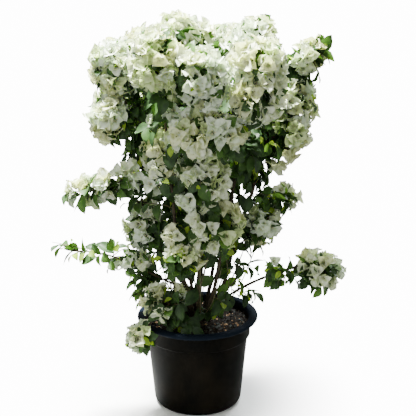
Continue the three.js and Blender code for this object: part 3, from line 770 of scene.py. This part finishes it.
# %% Soil
SOIL_RADIUS = COLLAR_RADIUS - WALL - 0.5
SOIL_RINGS = 26
RING_WIDE = 0.037
STONES = 900
bm = bmesh.new()
bmesh.ops.create_circle(bm, cap_ends=True, segments=72, radius=1)
for ring in range(SOIL_RINGS):
    middle = [f for f in bm.faces if len(f.verts) > 4]
    bmesh.ops.inset_region(bm, faces=middle, thickness=RING_WIDE, use_even_offset=False, use_boundary=True)
for vert in bm.verts:
    x, y = vert.co.x * SOIL_RADIUS, vert.co.y * SOIL_RADIUS
    out = math.hypot(x, y)
    lumps = 1.3 * math.sin(x / 5.1 + 2 * math.sin(y / 9)) * math.cos(y / 4.3) + 0.8 * math.sin((x - y) / 2.9)
    rim = max(0, out - 120) * 0.12
    vert.co = (x * MM, y * MM, (SOIL_TOP + lumps - rim) * MM)
soil = mesh_object("potting_soil", bm)
earth = finish("earth", (0.003, 0.0022, 0.0016), (0.024, 0.016, 0.01), 210, 0.95, bump=0.004, detail=10)
set_inputs(earth.node_tree.nodes["Principled BSDF"], Specular_IOR_Level=0.1)
dress(soil, earth)
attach(soil, "root")
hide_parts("soil")


def pebble(rough, size):
    """One rough lump, as points and triangles in millimetres."""
    bm = bmesh.new()
    bmesh.ops.create_icosphere(bm, subdivisions=1, radius=1)
    points, faces = taken(bm)
    stretch = np.array([0.7 + 0.6 * next(rough), 0.6 + 0.5 * next(rough), 0.45 + 0.4 * next(rough)])
    points = points * stretch * size
    return points * (1 + 0.35 * (np.array([[next(rough)] for _ in points]) - 0.5)), faces


STONE_FINISHES = {
    "dark_grit": finish("dark_grit", (0.006, 0.005, 0.004), (0.03, 0.022, 0.015), 300, 0.9, bump=0.001),
    "grey_grit": finish("grey_grit", (0.022, 0.026, 0.022), (0.07, 0.08, 0.07), 240, 0.9, bump=0.001),
    "tan_grit": finish("tan_grit", (0.26, 0.13, 0.06), (0.62, 0.4, 0.22), 240, 0.8, bump=0.001),
}
rough = seeded(4321)
grit = {name: [] for name in STONE_FINISHES}
for k in range(STONES):
    out = 30 + (SOIL_RADIUS - 36) * math.sqrt(next(rough))
    size = 1.5 + 4.4 * next(rough) ** 2
    spot = place(out, 360 * next(rough), SOIL_TOP + 0.3 * size)
    points, faces = pebble(rough, size)
    turn = np.array(Matrix.Rotation(any_turn(rough), 3, "Z"))
    chance = next(rough)
    kind = "dark_grit" if chance < 0.62 else "grey_grit" if chance < 0.85 else "tan_grit"
    grit[kind].append((points @ turn.T + spot, faces))
for kind, batches in grit.items():
    stones = joined(kind, batches, STONE_FINISHES[kind], smooth=False)
print("soil with", sum(len(batches) for batches in grit.values()), "stones")

# %% [markdown]
# ## Blossom
# What looks like a petal is a bract, a papery coloured leaf. Three of them cup each bloom, with three
# slim tubular flowers in the middle. A bract is an oval with a drawn-out tip. It starts as a flat grid,
# its rows are narrowed to the oval, and then it is bent out from the middle, folded slightly along its
# midrib and rippled at its edge. Ten blooms differ in how far they open, so that neighbours seldom
# look alike.

# %% One bract and one bloom
BRACT_LONG = 32
BRACT_WIDE = 24
BRACT_OVAL = (0.62, 0.8)

bm = bmesh.new()
bmesh.ops.create_grid(bm, x_segments=4, y_segments=5, size=1)
blade_points, BLADE_FACES = taken(bm)
BLADE_SPOTS = [(x, (y + 1) / 2) for x, y, _ in blade_points.tolist()]


def oval(t, blunt, tip):
    """The half width at share t along a blade, 1 at its widest, drawn out to a tip."""
    widest = blunt / (blunt + tip)
    return (max(t, 0) / widest) ** blunt * (max(1 - t, 0) / (1 - widest)) ** tip


def bract(opening, curl, cup, ripple, phase):
    """A bract that leaves the origin beside +Z and bends outwards over +X."""
    points = []
    for across, t in BLADE_SPOTS:
        width = 0.5 * BRACT_WIDE * oval(t, *BRACT_OVAL) + 0.8 * (1 - t)
        bend = math.radians(12 + opening * t * 0.5 + curl * t * t * 0.33)
        angle = math.radians(12 + opening * t + curl * t * t)
        out = BRACT_LONG * t * math.sin(bend)
        rise = BRACT_LONG * t * math.cos(bend)
        lift = cup * across**2 * width - 0.7 * (1 - abs(across))
        wave = ripple * abs(across) * math.sin(17 * t + phase + 3 * across)
        wave += ripple * 0.5 * math.sin(7 * t + 1.7 * phase + 4 * across)
        normal = (-math.cos(angle), math.sin(angle))
        points.append((out + normal[0] * (lift + wave), across * width, rise + normal[1] * (lift + wave)))
    return np.array(points), BLADE_FACES


def turn_z(points, degrees):
    """Points turned about the upright axis."""
    angle = math.radians(degrees)
    c, s = math.cos(angle), math.sin(angle)
    return points @ np.array([[c, -s, 0], [s, c, 0], [0, 0, 1]]).T


def tube_flower(lean, turn):
    """A slim tube flower that opens to a small star."""
    bm = bmesh.new()
    bmesh.ops.create_cone(bm, cap_ends=False, segments=3, radius1=0.8, radius2=1.4, depth=15)
    bmesh.ops.translate(bm, verts=bm.verts, vec=(0, 0, 7.5))
    rim = [e for e in bm.edges if min(v.co.z for v in e.verts) > 14]
    grown = bmesh.ops.extrude_edge_only(bm, edges=rim)["geom"]
    star = [v for v in grown if isinstance(v, bmesh.types.BMVert)]
    for vert in star:
        vert.co.x *= 2.6
        vert.co.y *= 2.6
        vert.co.z += 0.8
    points, faces = taken(bm)
    tilt = np.array(Matrix.Rotation(math.radians(lean), 3, "Y"))
    return turn_z(points @ tilt.T, turn), faces


rough = seeded(77)
BLOOM_SHAPES = []
for k in range(10):
    open_by = 24 + 44 * next(rough)
    bracts = []
    for side in range(3):
        opening = open_by + 22 * (next(rough) - 0.5)
        curl = 5 + 60 * next(rough)
        points, faces = bract(opening, curl, 0.1 + 0.5 * next(rough), 1.5 + 2 * next(rough), any_turn(rough))
        size = 0.88 + 0.24 * next(rough)
        bracts.append((turn_z(points * size, 120 * side + 20 * (next(rough) - 0.5)), faces))
    BLOOM_SHAPES.append(together(bracts))
FLOWER_SHAPES = [together([tube_flower(16 + 6 * k, 120 * j + 40 * k) for j in range(3)]) for k in range(3)]
print("a bloom has", len(BLOOM_SHAPES[0][1]), "triangles and its flowers", len(FLOWER_SHAPES[0][1]))

# %% [markdown]
# A leaf is a longer oval with a fine tip, folded along its midrib like a shallow boat and bent down.
# It starts from the same flat grid as a bract, and its foot is narrowed to a stalk.

# %% One leaf
LEAF_LONG = 48
LEAF_WIDE = 29
LEAF_OVAL = (0.55, 0.85)
LEAF_STALK = 0.12


def leaf(fold, bend, phase):
    """A leaf along +X with its upper side to +Z, its stalk starting at the origin."""
    points = []
    for across, t in BLADE_SPOTS:
        blade = max(0.0, (t - LEAF_STALK) / (1 - LEAF_STALK))
        width = 0.5 * LEAF_WIDE * oval(blade, *LEAF_OVAL) + 0.4 * (1 - t)
        angle = math.radians(bend * t)
        rise = abs(across) * width * math.tan(math.radians(fold))
        wave = 0.9 * math.sin(8 * t + phase) * abs(across)
        out = LEAF_LONG * t * math.cos(angle)
        points.append((out, -across * width, rise + wave - LEAF_LONG * t * math.sin(angle)))
    return np.array(points), BLADE_FACES


rough = seeded(55)
LEAF_SHAPES = [leaf(10 + 20 * next(rough), 8 + 30 * next(rough), any_turn(rough)) for _ in range(5)]
print("a leaf has", len(LEAF_SHAPES[0][1]), "triangles")

# %% [markdown]
# ## Growing the crown
# Each flowering site of a mass gets a spray. Short stalks stand round its twig, each a golden angle on
# from the last, and more of them where the crown is full. Each stalk ends in three or four blooms that
# look outwards, with leaves at its foot. On the shady side a leafy twig takes the site. A stalk that
# would leave the mass's space is shortened, and a bloom or leaf that would touch the pot is left out.
# First come the axes that turn a bloom or a leaf the right way.


# %% Placing shapes
def frame_for(z_way, roll):
    """Axes with z along a way, turned round it by roll, as the columns of a matrix."""
    z = unit(np.asarray(z_way, float))
    x = unit(np.cross((0, 0, 1) if abs(z[2]) < 0.95 else (0, 1, 0), z))
    y = np.cross(z, x)
    c, s = math.cos(roll), math.sin(roll)
    return np.column_stack([x * c + y * s, y * c - x * s, z])


def beside(way, roll):
    """A step of length one square to a way, turned round it by roll."""
    return frame_for(way, roll)[:, 0]


def leaf_frame(way, outward, rough):
    """Axes for a leaf: x along its way, z towards the light above and outside, rolled a little."""
    x = unit(np.asarray(way, float))
    light = outward + np.array([0.3 * (next(rough) - 0.5), 0.3 * (next(rough) - 0.5), 0.9])
    y = unit(np.cross(light, x))
    z = np.cross(x, y)
    roll = 0.9 * (next(rough) - 0.5)
    c, s = math.cos(roll), math.sin(roll)
    return np.column_stack([x, y * c + z * s, z * c - y * s])


def put(shape, axes, size, spot):
    """A shape brought to its size, turned to its axes and moved to its spot."""
    points, faces = shape
    return (points * size) @ axes.T + spot, faces


def bowed(start, end, way, bow):
    """A twig's line that leaves start along a way and bows to end."""
    middle = start + (end - start) * 0.5 + way * bow * np.linalg.norm(end - start)
    return Line([start, middle, end], 6)


print("a step beside +X is", beside((1, 0, 0), 0).round(2).tolist())

# %% [markdown]
# All shapes of one kind are gathered in a list of their own, and each list becomes one piece with one
# finish. There are four shades of blossom and three of leaf.

# %% Kinds of piece
TWIG_TUBE = plain_tube(5, 4)
STALK_TUBE = plain_tube(3, 2)
STEM_TUBE = plain_tube(7, 14)
BLOOM_KINDS = ("blossom_white", "blossom_cool", "blossom_cream", "blossom_green")
LEAF_KINDS = ("leaves_dark", "leaves_mid", "leaves_young")
grown = {kind: [] for kind in (*BLOOM_KINDS, *LEAF_KINDS, "flowers", "stems", "twigs")}
counts = {"blooms": 0, "leaves": 0}
print("shapes are gathered in", len(grown), "kinds")

# %% [markdown]
# A leafy twig has its leaves turned round it, each a golden angle on from the last. They droop a little,
# except on the slim masses, and the young ones near the tip are smaller and paler.

# %% Leafy twigs
YOUNG_SIZE = 0.62
LEAF_STRAY = 1.22
SLIM = 45
BARE = {"low_centre_leaves", "left_arm"}
AIRY = {"front_low", "hanging_bloom", "low_bloom"}


def add_leaf(start, way, size, rough, kind, space=None):
    """One leaf, if it keeps off the pot and stands no more than a little out of its mass's space."""
    way = unit(way)
    size *= YOUNG_SIZE if kind == "leaves_young" else 1
    tip = start + way * LEAF_LONG * size
    if not (clear_of_pot(tip, 3) and clear_of_pot((tip + start) / 2, 3)):
        return
    if space and depth_in(space, tip) > LEAF_STRAY:
        return
    shape = LEAF_SHAPES[int(len(LEAF_SHAPES) * next(rough))]
    grown[kind].append(put(shape, leaf_frame(way, outwards(start), rough), size, start))
    counts["leaves"] += 1


def leaf_kind(rough, young):
    """A kind of leaf drawn by chance, with the share of young ones given."""
    chance = next(rough)
    if chance < young:
        return "leaves_young"
    return "leaves_dark" if chance < young + 0.68 * (1 - young) else "leaves_mid"


def leafy_twig(start, end, rough, count, young, space=None):
    """A twig with leaves turned round it, each a golden angle on from the last."""
    droop, more = (0.3, 0.6) if space is None or space["halves"][1] > SLIM else (-0.15, 0.3)
    line = bowed(start, end, up(1.0), 0.08)
    grown["twigs"].append(tube_on(line, lambda t: 1.5 - 0.8 * t, TWIG_TUBE, 4))
    turn = any_turn(rough)
    for k in range(count):
        share = 0.2 + 0.8 * (k + 0.7) / count
        along = line.way(share)
        aside = beside(along, turn + k * GOLDEN_ANGLE)
        way = along * (0.3 + 0.5 * share) + aside + up(-droop - more * next(rough))
        size = (0.7 + 0.55 * next(rough)) * (1.1 - 0.3 * share)
        fresh = young * (2.2 if share > 0.8 else 0.6)
        add_leaf(line.at(share), way, size, rough, leaf_kind(rough, fresh), space)


def leaves_on_twig(space):
    """How many leaves each leafy twig of a mass has: fewest where bare twigs show, most in leaves alone."""
    first, last = space["flowers"]
    if space["name"] in BARE:
        return 2
    if last < 1 or space["name"] in AIRY:
        return 3
    return 5 if first <= 1 or space["halves"][1] < 48 else 9


print("leaves on a twig:", sorted({leaves_on_twig(space) for space in spaces}))

# %% [markdown]
# A spray is a twig with blossom. Most of its blooms share one shade. The higher the site stands, the more
# stalks the twig has, and now and then it is a leafy twig that blooms only near its end.

# %% Sprays
LUSH_FROM = 600
LUSH_OVER = 250
BESIDE_BLOOMS = 0.38
LEAFY_SHARE = 0.14
BROAD = 55
LOOSE_SPRAYS = {"right_sprig": 3, "low_bloom": 1, "hanging_bloom": 2}


def shade_of(space, site):
    """The shade of blossom that most blooms of a spray share, dealt out so that neighbours differ."""
    tint = (space["seed"] * 0.377 + site["index"] * 0.618) % 1
    return BLOOM_KINDS[0 if tint < 0.38 else 1 if tint < 0.64 else 2 if tint < 0.9 else 3]


def stalks_on(space, site, lush):
    """How many stalks a flowering twig has: more where the crown is lush, fewer in slim spaces."""
    if space["name"] == "left_arm" and site["along"] > 0.4:
        return 1
    usual = round((3.2 + 2.4 * lush) * min(1, space["halves"][1] / 60))
    return LOOSE_SPRAYS.get(space["name"], usual)


def spray(space, site, rough):
    """A flowering twig: stalks turned round it, each with blooms, and leaves below each stalk."""
    start = space["stem"].at(site["start"])
    end = start + (site["end"] - start) * (0.78 + 0.24 * next(rough))
    line = bowed(start, end, space["stem"].way(site["start"]), 0.12)
    grown["twigs"].append(tube_on(line, lambda t: 1.7 - 0.9 * t, TWIG_TUBE, 4))
    turn = any_turn(rough)
    lush = min(max((site["end"][2] - LUSH_FROM) / LUSH_OVER, 0), 1)
    from_share, stalks = 0, stalks_on(space, site, lush)
    if next(rough) < LEAFY_SHARE and space["halves"][1] > BROAD and site["outward"][2] < 0.4:
        from_share, stalks = 0.6, 2
        leafy_twig(start, end, rough, 6, 0.1, space)
    for k in range(stalks):
        on = from_share + (1 - from_share) * (k + 0.5) / stalks
        hub = line.at(0.25 + 0.75 * on)
        forward = unit(line.way(0.25 + 0.75 * on) + site["outward"])
        lean = math.radians(92 - 82 * on**1.5)
        aside = beside(forward, turn + k * GOLDEN_ANGLE)
        way = forward * math.cos(lean) + aside * math.sin(lean)
        reach = 10 + 30 * next(rough)
        for _ in range(6):
            fork = hub + way * reach
            if depth_in(space, fork + way * BRACT_LONG) < 1.0:
                break
            reach *= 0.7
        stalk = bowed(hub, fork, forward, 0.15)
        grown["twigs"].append(tube_on(stalk, lambda t: 0.9 - 0.2 * t, STALK_TUBE, 2))
        add_blooms(fork, way, site["outward"], shade_of(space, site), rough)
        if next(rough) < BESIDE_BLOOMS:
            leaf_way = aside + 0.5 * way + up(-0.2 - 0.5 * next(rough))
            add_leaf(fork, leaf_way, 0.85 + 0.4 * next(rough), rough, leaf_kind(rough, 0.12), space)
        for side in range(2 if lush < 0.7 else 1):
            leaf_way = unit(aside * (1 - 2 * side) + 0.6 * forward + up(-0.3 - 0.8 * next(rough)))
            add_leaf(hub, leaf_way, 0.8 + 0.5 * next(rough), rough, leaf_kind(rough, 0.09), space)


def add_blooms(fork, way, outward, main_kind, rough):
    """Three blooms on one stalk, a third of a circle from each other, and on some a fourth at its end."""
    turn = any_turn(rough)
    for j in range(4 if next(rough) < 0.4 else 3):
        aside = beside(way, turn + j * math.tau / 3)
        lean = unit(way + (0 if j == 3 else 0.6 + 0.7 * next(rough)) * aside)
        spot = fork + lean * (6 + 7 * next(rough))
        stray = np.array([next(rough) - 0.5, next(rough) - 0.5, next(rough) - 0.62])
        look = unit(lean + 0.25 * outward + 0.9 * stray)
        size = 0.82 + 0.34 * next(rough)
        kind = main_kind if next(rough) < 0.75 else BLOOM_KINDS[int(len(BLOOM_KINDS) * next(rough))]
        if not (clear_of_pot(spot, 8) and clear_of_pot(spot + look * 26, 4)):
            continue
        body = frame_for(look, any_turn(rough))
        bloom = BLOOM_SHAPES[int(len(BLOOM_SHAPES) * next(rough))]
        grown[kind].append(put(bloom, body, size, spot))
        grown["flowers"].append(put(FLOWER_SHAPES[j % 3], body, size, spot))
        counts["blooms"] += 1


print("stalks on the first twig of the crown:", stalks_on(spaces[0], {"along": 0}, 1))

# %% [markdown]
# Now the rule runs over every mass. The numbers that place the sites are drawn in the same order as in
# the solids, so each spray grows where a solid bloom stands, and each leafy twig where a solid leaf
# does. A few more leafy twigs, which the solids don't have, fill the inside of the masses.

# %% Grow every mass
LEAF_INSET = 12

for space in spaces:
    order = seeded(space["seed"])
    rough = seeded(space["seed"] + 5000)
    stem = space["stem"]
    grown["stems"].append(tube_on(stem, lambda t: 2.9 - 1.3 * t, STEM_TUBE, 14))
    first, last = space["flowers"]
    for site in sites_of(space, space["blooms"], 0, BLOOM_INSET, order):
        if not first <= site["along"] <= last:
            continue
        if is_sunny(site, space["centre"]):
            spray(space, site, rough)
        else:
            leafy_twig(stem.at(site["start"]), site["end"], rough, 7, 0.06, space)
    # The solids draw two more numbers for each bloom, for where it looks and how it is turned
    for _ in range(2 * space["blooms"]):
        next(order)
    count = leaves_on_twig(space)
    young = 0.14 if space["halves"][1] > SLIM else 0.4
    for site in sites_of(space, space["leaves"], 1.5, LEAF_INSET, order):
        leafy_twig(stem.at(site["start"]), site["end"], rough, count, young, space)
    inner_twigs = 0 if first > 1 else 2 if space["name"] in BARE else 6
    for site in sites_of(space, inner_twigs, 0.7, 0.45 * space["halves"][1], rough):
        leafy_twig(stem.at(0.9 * site["start"]), site["end"], rough, 6, 0.05, space)
print(counts["blooms"], "blooms and", counts["leaves"], "leaves in the masses")

# %% [markdown]
# A few sprays stand outside the even spread, because the photograph shows blossom there: a tail that
# hangs out under the right side of the crown, two close to the crown on the long left arm, and two that
# fill gaps at the front. Their space is made wide, so that the mass doesn't draw them in. Seven leafy
# twigs stand outside it too, at the foot of the bush and on the sprig at the upper right.

# %% Single sprays
SINGLES = (
    ("far_right", place(217, 355, 688), (0.2, -0.3, -0.9), 0.35, 18),
    ("left_arm", place(132, 206, 626), (-0.2, -0.8, 0.5), 0.2, 31),
    ("left_arm", place(196, 198, 630), (-0.2, -0.7, 0.6), 0.45, 44),
    ("low_bloom", place(122, 247, 530), (-0.3, -0.9, 0.1), 0.35, 52),
    ("left_centre", place(150, 251, 838), (-0.2, -0.9, 0.2), 0.5, 63),
)
LEAFY_SINGLES = (
    ("front_low", 0.5, place(112, 233, 252), 5, 0.08),
    ("front_low", 0.3, place(118, 249, 246), 6, 0.08),
    ("front_low", 0.2, place(108, 262, 246), 6, 0.08),
    ("front_low", 0.7, place(116, 218, 256), 5, 0.08),
    ("right_sprig", 0.55, place(272, 0, 868), 6, 0.1),
    ("right_sprig", 0.8, place(300, 358, 884), 5, 0.1),
    ("right_sprig", 0.95, place(318, 1, 926), 7, 0.5),
)
ROOMY = {"name": "single_spray", "halves": (150, 96, 96)}

by_name = {space["name"]: space for space in spaces}
for index, (name, end, outward, start, seed) in enumerate(SINGLES):
    site = {"end": end, "outward": unit(np.array(outward)), "start": start, "index": index + 2}
    spray({**by_name[name], **ROOMY}, site, seeded(seed))
for index, (name, start, end, count, young) in enumerate(LEAFY_SINGLES):
    leafy_twig(by_name[name]["stem"].at(start), end, seeded(70 + index), count, young)
print(len(SINGLES), "single sprays and", len(LEAFY_SINGLES), "leafy twigs")

# %% [markdown]
# Inside the crown the canes carry short leafy shoots too. They stand thick where the canes pass behind
# the blossom and thin near the foot, where the photograph shows light between the bare stems.

# %% Shoots along the canes
SHOOT_SPACING = 26

shoots = 0
for index, name in enumerate(CANES):
    line = limb_lines[name]
    rough = seeded(900 + index)
    turn = any_turn(rough)
    for k in range(1, int(line.length / SHOOT_SPACING)):
        share = k * SHOOT_SPACING / line.length
        foot = line.at(share)
        chance = next(rough)
        if chance > (0.1 if foot[2] < 420 else 0.85 if foot[2] < 620 else 1):
            continue
        aside = beside(line.way(share), turn + k * GOLDEN_ANGLE)
        aside = unit(aside - 0.25 * outwards(foot))
        reach = 34 + 44 * next(rough)
        leafy_twig(foot, foot + reach * unit(aside + up(0.35)), rough, 5, 0.06)
        shoots += 1
print(shoots, "leafy shoots")

# %% [markdown]
# The low bough on the right carries five such shoots and one lone bloom on a longer twig. One more leafy
# twig reaches over it from the cane on the right.

# %% Right low bough
LONE_SHARE = 0.68
LONE_SIZE = 0.85

bough = limb_lines["right_low_bough"]
rough = seeded(777)
for share in (0.36, 0.46, 0.74, 0.82, 0.9):
    foot = bough.at(share)
    aside = unit(0.5 * bough.way(share) + np.array([0, -0.5 * next(rough), 0.8 - 1.5 * next(rough)]))
    leafy_twig(foot, foot + 38 * aside, rough, 4, 0.1)
lone = bough.at(LONE_SHARE) + np.array([18, -20, 52])
leafy_twig(bough.at(LONE_SHARE), lone, rough, 2, 0.1)
leafy_twig(limb_lines["right_cane"].at(0.24), np.array([150, -15, 375]), rough, 5, 0.1)
body = frame_for((0.2, -0.8, 0.3), 0.4)
grown["blossom_cool"].append(put(BLOOM_SHAPES[3], body, LONE_SIZE, lone))
grown["flowers"].append(put(FLOWER_SHAPES[0], body, LONE_SIZE, lone))
print("a lone bloom at", [round(v) for v in lone.tolist()])

# %% [markdown]
# Thin bare stems rise between the canes too, mostly last year's growth. Each starts on the root crown,
# leans out and loses itself in the lowest leaves. Those on the left have a small leafy twig at the knee
# and those far to the right one at the tip.

# %% Thin stems over the soil
THIN_STEMS = 18
rough = seeded(640)
for k in range(THIN_STEMS):
    bearing = 360 * (k + 0.8 * next(rough)) / THIN_STEMS
    foot = place(16 + 18 * next(rough), bearing, CANE_FOOT_HEIGHT + 4)
    rightward = max(math.cos(math.radians(bearing)), 0)
    far = 62 + 46 * next(rough) + 55 * rightward
    knee = place(0.55 * far + 20, bearing + 30 * (next(rough) - 0.5), 300 + 30 * next(rough))
    tip = place(far, bearing + 60 * (next(rough) - 0.5), 400 + 90 * next(rough))
    thick = 1.3 + 1.1 * next(rough)
    line = Line([foot, knee, tip], 12)
    grown["twigs"].append(tube_on(line, lambda t: thick * (1.1 - 0.4 * t), STEM_TUBE, 14))
    aside = beside(tip - knee, 6 * next(rough))
    if rightward == 0:
        leafy_twig(knee, knee + 40 * unit(tip - knee + 60 * aside), rough, 2, 0.1)
    if rightward > 0.7:
        leafy_twig(tip, tip + 30 * unit(tip - knee), rough, 4, 0.1)
print(THIN_STEMS, "thin stems")

# %% [markdown]
# ## Finishes of the crown
# Bracts are papery: part of the light that falls on one side comes out on the other, tinted green. Their
# colour wanders by noise between a dark olive and white, and the olive is partly the bracts' own greenish
# tone and partly painted shade. Four shades of blossom are dealt out by spray. Three shades of leaf are dealt
# out along each twig, with the youngest most often near its tip.

# %% Join each kind
# name: dark, light and glowing colour, and for leaves also the share of light let through and roughness
BLOSSOM_COLOURS = {
    # for blossom the dark colour is partly painted olive shade and partly the bracts' own greenish tone
    "blossom_white": ((0.46, 0.53, 0.24), (0.9, 0.94, 0.8), (0.68, 0.78, 0.32)),
    "blossom_cool": ((0.5, 0.6, 0.34), (0.88, 0.94, 0.84), (0.64, 0.78, 0.42)),
    "blossom_cream": ((0.42, 0.45, 0.17), (0.86, 0.89, 0.64), (0.68, 0.72, 0.26)),
    "blossom_green": ((0.33, 0.43, 0.14), (0.74, 0.83, 0.5), (0.58, 0.72, 0.24)),
}
LEAF_COLOURS = {
    "leaves_dark": ((0.016, 0.038, 0.013), (0.044, 0.09, 0.028), (0.055, 0.14, 0.012), 0.22, 0.45),
    "leaves_mid": ((0.038, 0.088, 0.023), (0.078, 0.158, 0.042), (0.14, 0.29, 0.025), 0.35, 0.45),
    "leaves_young": ((0.17, 0.3, 0.03), (0.36, 0.5, 0.07), (0.42, 0.62, 0.03), 0.45, 0.42),
}
PAPER = {"through": 0.3, "grain": 95, "roughness": 0.6, "bump": 0.0009, "contrast": (0.28, 0.52)}

finishes = {kind: thin_finish(kind, *colours, **PAPER) for kind, colours in BLOSSOM_COLOURS.items()}
for kind, (*colours, through, roughness) in LEAF_COLOURS.items():
    finishes[kind] = thin_finish(kind, *colours, through, grain=60, roughness=roughness, bump=0.0003)
finishes["flowers"] = finish("flower_tubes", (0.5, 0.52, 0.28), (0.78, 0.76, 0.52), 200, 0.6)
finishes["stems"] = bark_old
finishes["twigs"] = bark_young
for kind, made in finishes.items():
    joined(kind, grown[kind], made)
print(counts["blooms"], "blooms and", counts["leaves"], "leaves")

# %% [markdown]
# The new pieces take the place of the plain masses, which are hidden.

# %% Replace the masses
leaf_nodes = [space["name"] + "_mass" for space in spaces if space["flowers"][0] > 1]
bloom_nodes = [space["name"] + "_mass" for space in spaces if space["flowers"][0] <= 1]
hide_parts(*bloom_nodes)
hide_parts(*leaf_nodes)
print(len(bloom_nodes) + len(leaf_nodes), "masses replaced")
